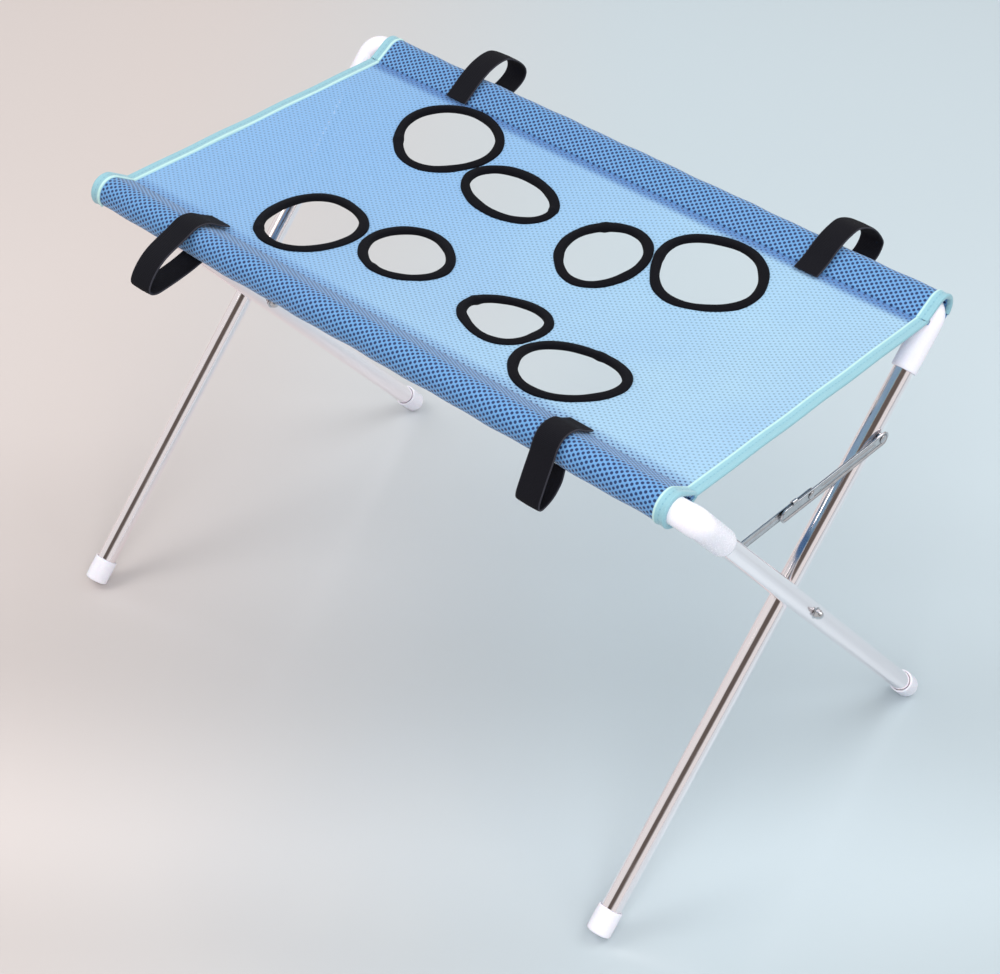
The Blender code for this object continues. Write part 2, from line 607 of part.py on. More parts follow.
def build_strap(place, x, side, parent):
    """Webbing loop standing out from a rail, bent from one flat strip."""
    path = smooth_path(STRAPS[place]) * 0.001 * SLEEVE_R / STRAP_SLEEVE_R
    along = np.gradient(path, axis=0)
    along /= np.linalg.norm(along, axis=1)[:, None]
    normal = np.stack([-along[:, 1], along[:, 0]], axis=1) * STRAP_THICK / 2
    corners = [(path - normal, -STRAP_WIDTH / 2), (path - normal, STRAP_WIDTH / 2),
               (path + normal, STRAP_WIDTH / 2), (path + normal, -STRAP_WIDTH / 2)]
    stations = np.stack([at_rail(outline, x + shift, side) for outline, shift in corners], axis=1)
    return skin("strap_loop_" + place, stations, BLACK_WEB, parent)


# ---- assembly -----------------------------------------------------------------------------------
def main():
    clear_scene()
    body_a = None
    body_b = make_empty("frame_b_axis", (0, 0, PIVOT_Z))
    build_frame("a", 1, body_a)
    build_frame("b", -1, body_b)
    for end_name, end in (("right", 1), ("left", -1)):
        upper = make_empty("brace_upper_axis_" + end_name, (0, LINK_REACH, BRACE_Z))
        lower = make_empty("brace_lower_axis_" + end_name, (0, -LINK_REACH, BRACE_Z))
        build_pivot(end_name, end, body_a, body_b)
        build_brace(end_name, end, body_a, body_b, upper, lower)
        build_end_tape(end_name, end, body_a)
    for letter, side, parent in (("a", 1, body_a), ("b", -1, body_b)):
        build_sleeve(letter, side, parent)
        for end_name, end in (("right", 1), ("left", -1)):
            build_mouth_binding(letter, side, end_name, end, parent)
    build_panel(body_a)
    for name, hole in HOLES.items():
        build_hole_binding(name, hole, body_a)
    for place in STRAPS:
        side = 1 if place.startswith("far") else -1
        x = STRAP_X if place.endswith("right") else -STRAP_X
        build_strap(place, x, side, body_a if side > 0 else body_b)


main()
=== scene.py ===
"""Looks of the folding mesh sling stand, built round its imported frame. Metres, +Z up."""
import json
import math

import bmesh
import bpy
import numpy as np
from mathutils import Matrix, Vector
from mathutils.geometry import delaunay_2d_cdt


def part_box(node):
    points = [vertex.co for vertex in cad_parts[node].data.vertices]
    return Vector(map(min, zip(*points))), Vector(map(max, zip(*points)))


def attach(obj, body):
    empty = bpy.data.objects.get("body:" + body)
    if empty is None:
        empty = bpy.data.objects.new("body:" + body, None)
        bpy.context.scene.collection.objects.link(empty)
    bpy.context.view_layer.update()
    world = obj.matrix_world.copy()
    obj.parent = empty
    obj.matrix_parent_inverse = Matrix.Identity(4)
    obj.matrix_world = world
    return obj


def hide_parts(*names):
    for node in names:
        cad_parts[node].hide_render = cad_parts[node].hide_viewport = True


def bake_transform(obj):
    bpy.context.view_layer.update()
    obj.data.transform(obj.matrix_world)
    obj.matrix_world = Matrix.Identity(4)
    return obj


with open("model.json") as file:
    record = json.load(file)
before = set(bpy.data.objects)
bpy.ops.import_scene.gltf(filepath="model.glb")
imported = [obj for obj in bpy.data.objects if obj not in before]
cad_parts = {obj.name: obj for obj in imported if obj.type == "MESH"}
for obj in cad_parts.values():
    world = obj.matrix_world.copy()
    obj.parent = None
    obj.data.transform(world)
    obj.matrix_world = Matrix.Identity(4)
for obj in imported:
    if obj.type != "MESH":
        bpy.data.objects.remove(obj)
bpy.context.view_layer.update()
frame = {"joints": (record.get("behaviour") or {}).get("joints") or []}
scene = bpy.context.scene

# ---- camera, floor and lights ----
# A long lens looks down on the sling from the near right. The stand is on a pale, slightly glossy
# studio floor that turns from warm grey on the left to pale blue-grey on the right.
AZIMUTH, ELEVATION, ROLL = math.radians(39.92), math.radians(38.2), math.radians(2.64)
ahead = Vector((-math.sin(AZIMUTH) * math.cos(ELEVATION), math.cos(AZIMUTH) * math.cos(ELEVATION),
                -math.sin(ELEVATION)))
level = ahead.cross(Vector((0, 0, 1))).normalized()
above = level.cross(ahead)
right = level * math.cos(ROLL) + above * math.sin(ROLL)
up = above * math.cos(ROLL) - level * math.sin(ROLL)


def add_object(name, data):
    """New object at the origin of the scene."""
    made = bpy.data.objects.new(name, data)
    scene.collection.objects.link(made)
    return made


camera = add_object("camera", bpy.data.cameras.new("camera"))
camera.matrix_world = (Matrix.Translation((1.0618, -1.2727, 1.5424))
                       @ Matrix((right, up, -ahead)).transposed().to_4x4())
camera.data.lens = 79.58
camera.data.sensor_width = 36
camera.data.shift_y = -0.0338
camera.data.clip_start = 0.05
scene.camera = camera
scene.view_settings.view_transform = "Standard"


def node(tree, kind, *inputs, output=0, **settings):
    """One shader node; each input is a socket to link, a value to set, or None to leave alone."""
    made = tree.nodes.new("ShaderNode" + kind)
    for key, value in settings.items():
        setattr(made, key, value)
    for place, value in enumerate(inputs):
        if isinstance(value, bpy.types.NodeSocket):
            tree.links.new(value, made.inputs[place])
        elif value is not None:
            made.inputs[place].default_value = value
    return made.outputs[output]


def calc(tree, operation, *values):
    """Math node."""
    return node(tree, "Math", *values, operation=operation)


def vector(tree, operation, *values, output=0):
    """Vector math node; output 1 is the plain number of a dot product or a length."""
    return node(tree, "VectorMath", *values, output=output, operation=operation)


def pick(tree, value, place):
    """One of the three numbers of a vector."""
    return node(tree, "SeparateXYZ", value, output=place)


def noise(tree, where, scale, detail):
    """Smooth noise round 0.5."""
    return node(tree, "TexNoise", where, None, scale, detail, output=0)


def fade(tree, value, low, high, first=0.0, last=1.0):
    """Smooth step from first at low to last at high."""
    return node(tree, "MapRange", value, low, high, first, last, interpolation_type="SMOOTHSTEP")


def waves(tree, value, pitch):
    """Sine along a coordinate with the given wave length."""
    return calc(tree, "SINE", calc(tree, "MULTIPLY", value, math.tau / pitch))


def mix_color(tree, factor, first, second):
    """Colour that runs from first to second as factor goes from 0 to 1."""
    made = tree.nodes.new("ShaderNodeMix")
    made.data_type = "RGBA"
    for place, value in ((0, factor), (6, first), (7, second)):
        if isinstance(value, bpy.types.NodeSocket):
            tree.links.new(value, made.inputs[place])
        else:
            made.inputs[place].default_value = value
    return made.outputs[2]


def ramp(tree, value, stops):
    """Colour ramp with smooth steps; stops are (place, colour)."""
    made = tree.nodes.new("ShaderNodeValToRGB")
    made.color_ramp.interpolation = "EASE"
    elements = made.color_ramp.elements
    while len(elements) < len(stops):
        elements.new(0.5)
    for element, (place, color) in zip(elements, stops):
        element.position = place
        element.color = color
    tree.links.new(value, made.inputs[0])
    return made.outputs[0]


def rgb(red, green, blue):
    """Linear colour of an 8-bit display colour."""
    return tuple(((c / 255 + 0.055) / 1.055) ** 2.4 if c > 10 else c / 3295
                 for c in (red, green, blue)) + (1,)


def finish(name, color, roughness, metallic=0.0, **sockets):
    """Principled material; sockets are set by their names with underscores for spaces."""
    made = bpy.data.materials.new(name)
    made.use_nodes = True
    shader = made.node_tree.nodes["Principled BSDF"]
    shader.inputs["Base Color"].default_value = color
    shader.inputs["Roughness"].default_value = roughness
    shader.inputs["Metallic"].default_value = metallic
    for key, value in sockets.items():
        shader.inputs[key.replace("_", " ")].default_value = value
    return made, made.node_tree, shader


def paint(tree, shader, color):
    """Links a colour to the shader's base colour."""
    tree.links.new(color, shader.inputs["Base Color"])


def roughen(tree, shader, height, strength, distance):
    """Bump from a height socket."""
    bump = node(tree, "Bump", strength, distance, None, height)
    tree.links.new(bump, shader.inputs["Normal"])


FLOOR_WARM, FLOOR_COOL = rgb(212, 203, 200), rgb(197, 210, 217)
floor_mesh = bpy.data.meshes.new("studio_floor")
floor_mesh.from_pydata([(-9, -9, 0), (9, -9, 0), (9, 9, 0), (-9, 9, 0)], [], [(0, 1, 2, 3)])
studio_floor = add_object("studio_floor", floor_mesh)
floor_look, tree, shader = finish("studio_floor", FLOOR_WARM, 0.16, Specular_IOR_Level=0.35)
spot = node(tree, "TexCoord", output=3)
across = vector(tree, "DOT_PRODUCT", spot, (0.77, 0.64, 0), output=1)
toward = vector(tree, "DOT_PRODUCT", spot, (0.64, -0.77, 0), output=1)
hue = fade(tree, across, -0.55, 0.25)
depth = node(tree, "MapRange", toward, -1.5, 0.75, 0.0, 1.0)
# Painted light and shade on the floor: brighter far behind the stand, a darker band under the stand where its
# shade falls, and darker again towards the front.
PAINTED_LIGHT_ZONES = ((0.0, 1.10), (0.38, 1.02), (0.52, 1.0), (0.62, 0.94), (0.70, 0.86), (0.79, 0.97), (0.86, 0.82),
               (1.0, 0.74))
shade = ramp(tree, depth, [(place, (share, share, share, 1)) for place, share in PAINTED_LIGHT_ZONES])
paint(tree, shader, vector(tree, "MULTIPLY", mix_color(tree, hue, FLOOR_WARM, FLOOR_COOL), shade))
floor_mesh.materials.append(floor_look)

world = bpy.data.worlds.new("studio")
scene.world = world
world.use_nodes = True
tree = world.node_tree
heading = node(tree, "TexCoord", output=0)
facing = calc(tree, "ABSOLUTE", vector(tree, "DOT_PRODUCT", heading, (0.46, -0.89, 0), output=1))
steep = fade(tree, pick(tree, heading, 2), 0.32, 0.46)
dark_wall = calc(tree, "MULTIPLY", fade(tree, facing, 0.60, 0.72), steep)
studio = mix_color(tree, dark_wall, (1.0, 0.99, 0.985, 1), (0.15, 0.125, 0.11, 1))
tree.links.new(studio, tree.nodes["Background"].inputs["Color"])
tree.nodes["Background"].inputs["Strength"].default_value = 0.74


def softbox(name, place, size, power, color):
    """Square area light aimed at the middle of the stand."""
    away = Vector(place) - Vector((0, 0, 0.25))
    lamp = bpy.data.lights.new(name, "AREA")
    lamp.size = size
    lamp.energy = power
    lamp.color = color
    turn = away.to_track_quat("Z", "Y").to_matrix().to_4x4()
    add_object(name, lamp).matrix_world = Matrix.Translation(place) @ turn


softbox("key_light", (-1.3, -1.1, 2.2), 1.3, 20, (1.0, 0.98, 0.96))
softbox("top_light", (0.9, 0.9, 2.6), 2.0, 30, (0.97, 0.99, 1.0))
softbox("front_light", (1.3, -1.5, 1.7), 1.6, 34, (1.0, 0.99, 0.98))
bpy.data.objects["front_light"].visible_glossy = False

# ---- chromed tube frames ----
# Two frames of 19 mm chromed steel tube: a rail that the sling hangs on and two straight legs. Each
# leg is pushed into the corner elbows above and a foot cap below; the frames cross at the pivots.
rail_low, rail_high = (np.array(corner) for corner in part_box("rail_tube_a"))
TUBE_R = (rail_high[2] - rail_low[2]) / 2
RAIL_Y = (rail_high[1] + rail_low[1]) / 2
RAIL_Z = (rail_high[2] + rail_low[2]) / 2
TUBE_WALL = 0.0012
PIVOT_Z = frame["joints"][0]["pos_m"][2]
LEG_UP = math.hypot(RAIL_Y, RAIL_Z - PIVOT_Z)
LEG_DOWN = 0.341
LEG_TOP, LEG_SHORT = 0.024, 0.0065  # the tube starts this far below the corner and stops short of the foot
CORE = 0.0001  # radius left round the axis of a solid end, closed by a fan
SIDE = {"a": 1, "b": -1}
DOWN = {letter: np.array((0, -side * RAIL_Y, PIVOT_Z - RAIL_Z)) / LEG_UP for letter, side in SIDE.items()}
ENDS = {"left": -1, "right": 1}


def middle(cad_name):
    """Middle of a CAD node's box."""
    low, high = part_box(cad_name)
    return (np.array(low) + np.array(high)) / 2


def surface(name, points, look, body=None, wrap=False, ring=False, uv=None, sharp=40):
    """Quads between the neighbours of a (rows, columns, 3) grid of points.

    wrap joins the last column to the first and ring the last row to the first. Without ring, each
    end row of a wrapped grid is closed by a fan to its middle. uv gives metres along and across.
    """
    grid = np.asarray(points, dtype=float)
    flat = None if uv is None else np.asarray(uv, dtype=float)
    if wrap:
        grid = np.concatenate([grid, grid[:, :1]], axis=1)
    if wrap and not ring:
        first = np.broadcast_to(grid[:1, :-1].mean(axis=1, keepdims=True), grid[:1].shape)
        last = np.broadcast_to(grid[-1:, :-1].mean(axis=1, keepdims=True), grid[-1:].shape)
        grid = np.concatenate([first, grid, last])
        if flat is not None:
            flat = np.concatenate([flat[:1], flat, flat[-1:]])
    if ring:
        grid = np.concatenate([grid, grid[:1]])
    rows, columns = grid.shape[:2]
    index = np.arange(rows * columns).reshape(rows, columns)
    faces = np.stack([index[:-1, :-1], index[1:, :-1], index[1:, 1:], index[:-1, 1:]], axis=-1).reshape(-1, 4)
    mesh = bpy.data.meshes.new(name)
    mesh.from_pydata(grid.reshape(-1, 3), [], faces.tolist())
    if flat is not None:
        layer = mesh.uv_layers.new(name="weave")
        layer.data.foreach_set("uv", flat.reshape(-1, 2)[faces.ravel()].ravel())
    made = add_object(name, mesh)
    seal(made, recalc=wrap)
    dress(made, look, sharp)
    if body:
        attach(made, body)
    return made


def seal(made, recalc=True):
    """Merges the doubled points of seams and poles and turns the faces outward."""
    work = bmesh.new()
    work.from_mesh(made.data)
    bmesh.ops.remove_doubles(work, verts=work.verts, dist=1e-6)
    bmesh.ops.dissolve_degenerate(work, edges=work.edges, dist=1e-7)
    if recalc:
        bmesh.ops.recalc_face_normals(work, faces=work.faces)
    work.to_mesh(made.data)
    work.free()


def dress(made, look, sharp=40):
    """Smooth shading that breaks at edges sharper than the given degrees, and the material."""
    made.data.materials.clear()
    made.data.materials.append(look)
    made.data.shade_smooth()
    made.data.set_sharp_from_angle(angle=math.radians(sharp))


def whole_turn(count):
    """Angles spaced evenly round a circle, the first at 0."""
    return np.linspace(0, math.tau, count, endpoint=False)


def turned(name, start, direction, profile, look, body=None, sides=72, ring=False, flats=None):
    """Surface of revolution: (distance, radius) pairs swept round a line; flats scales the radius."""
    axis = np.array(direction, dtype=float) / np.linalg.norm(direction)
    across = np.cross(axis, (0.0, 0.0, 1.0) if abs(axis[2]) < 0.9 else (1.0, 0.0, 0.0))
    across /= np.linalg.norm(across)
    other = np.cross(axis, across)
    turn = whole_turn(sides)
    radial = np.cos(turn)[:, None] * across + np.sin(turn)[:, None] * other
    steps = np.array(profile, dtype=float)
    radius = np.repeat(steps[:, 1:2], sides, axis=1)
    if flats is not None:
        radius = np.where(np.array(flats)[:, None] > 0, np.minimum(radius, hexagon(turn)), radius)
    points = np.array(start) + steps[:, :1, None] * axis + radius[..., None] * radial[None]
    uv = np.stack(np.broadcast_arrays(np.append(turn, math.tau)[None] * TUBE_R, steps[:, :1]), axis=-1)
    return surface(name, points, look, body, wrap=True, ring=ring, uv=None if ring else uv)


def arc(centre, radius, start, end, steps=6):
    """Points of a quarter round or other arc, in degrees, in a profile's plane."""
    turn = np.radians(np.linspace(start, end, steps))
    return list(zip(centre[0] + radius * np.cos(turn), centre[1] + radius * np.sin(turn)))


def tube_profile(length, radius=TUBE_R, wall=TUBE_WALL, lip=0.0003):
    """Closed profile of a tube with lightly broken edges."""
    inner = radius - wall
    return [(0, inner), (0, radius - lip), (lip, radius), (length - lip, radius), (length, radius - lip),
            (length, inner)]


chrome, tree, shader = finish("chrome", (1.0, 0.925, 0.94, 1), 0.07, 1.0)
place = node(tree, "TexCoord", output=3)
drawn = node(tree, "Mapping", place, None, None, (260, 26, 26))
lines = noise(tree, drawn, 6.0, 4.0)
smudge = noise(tree, place, 34.0, 3.0)
tree.links.new(node(tree, "MapRange", smudge, 0.35, 0.75, 0.055, 0.15), shader.inputs["Roughness"])
roughen(tree, shader, lines, 0.05, 0.0004)

for letter, side in SIDE.items():
    low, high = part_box("rail_tube_" + letter)
    rail = turned("rail_" + letter, (low[0], side * RAIL_Y, RAIL_Z), (1, 0, 0),
                  tube_profile(high[0] - low[0]), chrome, "frame_" + letter, ring=True)
    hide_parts("rail_tube_" + letter)
    for end_name in ENDS:
        x = middle("leg_tube_%s_%s" % (letter, end_name))[0]
        top = np.array((x, side * RAIL_Y, RAIL_Z)) + DOWN[letter] * LEG_TOP
        length = LEG_UP + LEG_DOWN - LEG_SHORT - LEG_TOP
        leg = turned("leg_%s_%s" % (letter, end_name), top, DOWN[letter], tube_profile(length), chrome,
                     "frame_" + letter, ring=True)
        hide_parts("leg_tube_%s_%s" % (letter, end_name))

# ---- moulded corner elbows ----
# Glossy white moulded plastic. Each elbow has a blind socket for the rail and one for the leg, and a
# full round bend between them; it is pressed on and holds by friction.
ELBOW_R = TUBE_R + 0.0025
ELBOW_BEND = 0.0145
ELBOW_LEG = 0.060
ELBOW_RAIL = 0.050
SOCKET_FLOOR = 0.022
SOCKET_R = TUBE_R + 0.0003
ELBOW_LIP = 0.0007


def carried(centres, tangents, side_axis, radii, sides=56):
    """Circles carried along a path: each lies across the path's tangent and holds side_axis."""
    cross_axis = np.cross(tangents, side_axis)
    cross_axis /= np.linalg.norm(cross_axis, axis=1)[:, None]
    turn = whole_turn(sides)
    radial = (np.cos(turn)[None, :, None] * np.asarray(side_axis)[None, None]
              + np.sin(turn)[None, :, None] * cross_axis[:, None])
    return centres[:, None] + np.asarray(radii)[:, None, None] * radial


white_plastic, tree, shader = finish("white_plastic", rgb(236, 234, 243), 0.26, Subsurface_Weight=0.08,
                                     Subsurface_Scale=0.004, Coat_Weight=0.25, Coat_Roughness=0.12)
place = node(tree, "TexCoord", output=3)
grain = noise(tree, place, 900.0, 3.0)
sink = noise(tree, place, 60.0, 2.0)
paint(tree, shader, mix_color(tree, sink, rgb(232, 230, 240), rgb(237, 235, 244)))
tree.links.new(node(tree, "MapRange", grain, 0.3, 0.7, 0.24, 0.29), shader.inputs["Roughness"])
roughen(tree, shader, grain, 0.005, 0.0001)

for letter, side in SIDE.items():
    for end_name, end in ENDS.items():
        x = middle("leg_tube_%s_%s" % (letter, end_name))[0]
        corner = np.array((x, side * RAIL_Y, RAIL_Z))
        along_rail, along_leg = np.array((-float(end), 0, 0)), DOWN[letter]
        rail_reach = [(SOCKET_FLOOR, CORE), (SOCKET_FLOOR, SOCKET_R), (ELBOW_RAIL - 0.0004, SOCKET_R),
                      (ELBOW_RAIL, SOCKET_R + 0.0004), (ELBOW_RAIL, ELBOW_R - ELBOW_LIP),
                      (ELBOW_RAIL - ELBOW_LIP, ELBOW_R)]
        rail_reach += [(r, ELBOW_R) for r in np.linspace(ELBOW_RAIL - 0.003, ELBOW_BEND + 0.0005, 8)]
        leg_reach = [(r, ELBOW_R) for r in np.linspace(ELBOW_BEND + 0.0005, ELBOW_LEG - 0.003, 10)]
        leg_reach += [(ELBOW_LEG - ELBOW_LIP, ELBOW_R), (ELBOW_LEG - 0.0002, ELBOW_R - 0.0004),
                      (ELBOW_LEG, ELBOW_R - ELBOW_LIP), (ELBOW_LEG, SOCKET_R + 0.0004),
                      (ELBOW_LEG - 0.0004, SOCKET_R), (SOCKET_FLOOR, SOCKET_R), (SOCKET_FLOOR, CORE)]
        turn = np.linspace(0, math.pi / 2, 22)[1:-1]
        hub = corner + (along_rail + along_leg) * ELBOW_BEND
        bend = hub - ELBOW_BEND * (np.cos(turn)[:, None] * along_leg + np.sin(turn)[:, None] * along_rail)
        bend_way = np.sin(turn)[:, None] * along_leg - np.cos(turn)[:, None] * along_rail
        swell = 0.0006 * np.sin(2 * turn) ** 2
        centres = np.concatenate([[corner + along_rail * r for r, _ in rail_reach], bend,
                                  [corner + along_leg * r for r, _ in leg_reach]])
        ways = np.concatenate([np.tile(-along_rail, (len(rail_reach), 1)), bend_way,
                               np.tile(along_leg, (len(leg_reach), 1))])
        radii = np.concatenate([[r for _, r in rail_reach], ELBOW_R + swell, [r for _, r in leg_reach]])
        side_axis = np.cross(along_rail, along_leg)
        elbow = surface("elbow_%s_%s" % (letter, end_name), carried(centres, ways, side_axis, radii),
                        white_plastic, "frame_" + letter, wrap=True)
        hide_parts("corner_elbow_%s_%s" % (letter, end_name))

# ---- foot caps ----
# White plastic caps pushed over the leg ends. The closed end is rounded at its rim, and the rim is
# worn to a small flat where the cap stands.
CAP_R = TUBE_R + 0.00215
CAP_LENGTH = 0.025
CAP_FLOOR = 0.006
CAP_RIM = 0.0022

for letter, side in SIDE.items():
    for end_name in ENDS:
        x = middle("leg_tube_%s_%s" % (letter, end_name))[0]
        foot = np.array((x, 0, PIVOT_Z)) + DOWN[letter] * LEG_DOWN
        profile = [(0, CORE), (0, 0.002), (0, 0.005), (0.0001, CAP_R - 0.0036), (0.0003, CAP_R - 0.0026)]
        profile += [(CAP_RIM + d, r) for d, r in arc((0, CAP_R - CAP_RIM), CAP_RIM, 180, 90, 9)][1:]
        profile += [(0.0070, CAP_R), (0.014, CAP_R + 0.0001), (0.020, CAP_R),
                    (CAP_LENGTH - 0.0006, CAP_R - 0.0001), (CAP_LENGTH - 0.0002, CAP_R - 0.0003),
                    (CAP_LENGTH, CAP_R - 0.0007), (CAP_LENGTH, SOCKET_R + 0.0003),
                    (CAP_LENGTH - 0.0003, SOCKET_R), (CAP_FLOOR, SOCKET_R), (CAP_FLOOR, CORE)]
        cap = turned("foot_cap_%s_%s_moulded" % (letter, end_name), foot, -DOWN[letter], profile,
                     white_plastic, "frame_" + letter)
        heights = np.empty(len(cap.data.vertices) * 3)
        cap.data.vertices.foreach_get("co", heights)
        heights[2::3] = np.maximum(heights[2::3], 0.0)
        cap.data.vertices.foreach_set("co", heights)
        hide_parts("foot_cap_%s_%s" % (letter, end_name))

# ---- pivots ----
# One steel bolt through both legs at each end, with a domed head on frame A's leg, a flanged cap nut
# on frame B's and a white spacer ring between the tubes.
BOLT_R = 0.0025
BOLT_HEAD_R = 0.0050
NUT_FLATS = 0.008
NUT_FLANGE_R = 0.0056
CLEAR = 0.0003


def hexagon(turn):
    """Radius of a hexagonal nut with rounded corners at each angle."""
    away = (turn % (math.pi / 3)) - math.pi / 6
    return np.minimum(NUT_FLATS / 2 / np.cos(away), NUT_FLATS / 2 * 1.12)


steel, tree, shader = finish("zinc_steel", (0.74, 0.74, 0.76, 1), 0.2, 1.0)
place = node(tree, "TexCoord", output=3)
marks = noise(tree, node(tree, "Mapping", place, None, None, (1, 0.25, 1)), 700.0, 4.0)
patch = noise(tree, place, 120.0, 3.0)
tree.links.new(node(tree, "MapRange", patch, 0.3, 0.7, 0.10, 0.22), shader.inputs["Roughness"])
paint(tree, shader, mix_color(tree, patch, (0.40, 0.40, 0.42, 1), (0.70, 0.70, 0.72, 1)))
roughen(tree, shader, marks, 0.10, 0.0003)

for end_name in ENDS:
    face_a = middle("leg_tube_a_" + end_name)[0] - TUBE_R - CLEAR
    face_b = middle("leg_tube_b_" + end_name)[0] + TUBE_R + CLEAR
    span = face_b - face_a
    head = [(-0.0026, CORE), (-0.00255, 0.0012), (-0.0023, 0.0024), (-0.0018, 0.0036), (-0.0011, 0.0044),
            (-0.0004, 0.0049), (-0.0001, BOLT_HEAD_R), (0, BOLT_HEAD_R - 0.0002), (0, BOLT_R)]
    shank = head + [(span + 0.0038, BOLT_R), (span + 0.0042, BOLT_R - 0.0004), (span + 0.0042, CORE)]
    bolt = turned("bolt_" + end_name, (face_a, 0, PIVOT_Z), (1, 0, 0), shank, steel, "frame_a", sides=48)
    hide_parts("pivot_bolt_" + end_name)

    low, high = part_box("pivot_spacer_" + end_name)
    ring = turned("spacer_" + end_name, (low[0], 0, PIVOT_Z), (1, 0, 0),
                  tube_profile(high[0] - low[0], (high[2] - low[2]) / 2, 0.0020), white_plastic, "frame_a",
                  sides=48, ring=True)
    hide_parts("pivot_spacer_" + end_name)

    nut_steps = [(0, BOLT_R + 0.0006, 0), (0, NUT_FLANGE_R - 0.0002, 0), (0.0002, NUT_FLANGE_R, 0),
                 (0.0007, NUT_FLANGE_R, 0), (0.0009, NUT_FLANGE_R - 0.0003, 0), (0.0010, 0.0050, 1),
                 (0.0012, 0.0049, 1), (0.0038, 0.0049, 1), (0.0043, 0.0045, 1), (0.0047, 0.0040, 1),
                 (0.0051, 0.0036, 0), (0.0053, 0.0035, 0), (0.0062, 0.0033, 0), (0.0070, 0.0027, 0),
                 (0.0075, 0.0018, 0), (0.0077, 0.0009, 0), (0.00772, CORE, 0)]
    nut = turned("cap_nut_" + end_name, (face_b, 0, PIVOT_Z), (1, 0, 0), [step[:2] for step in nut_steps],
                 steel, "frame_a", sides=96, flats=[step[2] for step in nut_steps])
    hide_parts("pivot_nut_" + end_name)

# ---- folding braces ----
# Each end has a brace of two stamped steel links: an outer channel with turned-up edges and a long
# embossed bead, and a flat inner link under it, joined by domed rivets. A curled tab stops the pair.
PLATE = 0.0012
LINK_FLANGE = 0.0030
LINK_GAP = 0.0010
BEAD_WIDTH, BEAD_HEIGHT, BEAD_MARGIN, BEAD_RAMP = 0.0042, 0.0009, 0.012, 0.002
RIVET_HEAD_R, RIVET_HEAD_H, RIVET_R = 0.0040, 0.0016, 0.0019
TAB_OUTER, TAB_INNER = 0.0021, 0.0010
TAB_FROM, TAB_TO = -0.029, -0.023


def stamped_link(name, start, heading, length, overrun, width, back, flange, look, body):
    """A strip with round ends in a plane across X.

    Along the strip its half width follows a circle at each end; across it the section turns from
    the floor into the edge flange over a small round, and the bead is a raised cosine in the floor.
    """
    half = width / 2
    quarter = np.linspace(0, math.pi / 2, 9)
    reach = np.concatenate([-half * np.cos(quarter), np.linspace(0, length + overrun, 60)[1:-1],
                            length + overrun + half * np.sin(quarter)])
    end_gap = np.maximum(np.maximum(-reach, reach - length - overrun), 0)
    room = np.sqrt(np.maximum(half ** 2 - end_gap ** 2, 0))
    fold = 0.0012 if flange > PLATE else 0.0003
    bend = np.radians(np.linspace(0, 90, 6))
    floor_share = np.linspace(-1, 1, 25)
    inset = np.concatenate([[0], fold * (1 - np.cos(bend[::-1]))])
    rise = np.concatenate([[max(flange - PLATE, fold)], fold * (1 - np.sin(bend[::-1]))])
    inset, rise = inset[:-1], rise[:-1]
    floor_half = np.maximum(room - fold, 0)
    shares = np.concatenate([room[:, None] - np.minimum(inset[None], room[:, None]),
                             floor_half[:, None] * -floor_share[None],
                             -(room[:, None] - np.minimum(inset[None, ::-1], room[:, None]))], axis=1)
    lift = np.concatenate([np.tile(rise, (len(reach), 1)), np.zeros((len(reach), 25)),
                           np.tile(rise[::-1], (len(reach), 1))], axis=1)
    bead_room = np.minimum(reach - BEAD_MARGIN, length - BEAD_MARGIN - reach)
    bead_end = np.clip(bead_room / BEAD_RAMP, 0, 1)[:, None]
    bead = np.clip(1 - np.abs(shares) / (BEAD_WIDTH / 2), 0, 1)
    lift = lift + BEAD_HEIGHT * np.sin(bead * math.pi / 2) * np.sin(bead_end * math.pi / 2)
    along = np.broadcast_to(start[1] + heading * reach[:, None], shares.shape)
    points = np.stack([back + PLATE / 2 + lift, along, start[2] + shares], axis=-1)
    link = surface(name, points, look)
    wall = link.modifiers.new("plate", "SOLIDIFY")
    wall.thickness = PLATE
    wall.offset = 0
    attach(link, body)
    return link


def dome_head(radius, height, shank, reach):
    """Profile of a domed rivet: head on the near side of 0, shank beyond."""
    turn = np.radians(np.linspace(2, 84, 10))
    head = [(-height * math.cos(t), radius * math.sin(t)) for t in turn]
    return head + [(-0.0001, radius), (0, radius - 0.0001), (0, shank), (reach, shank), (reach, CORE)]


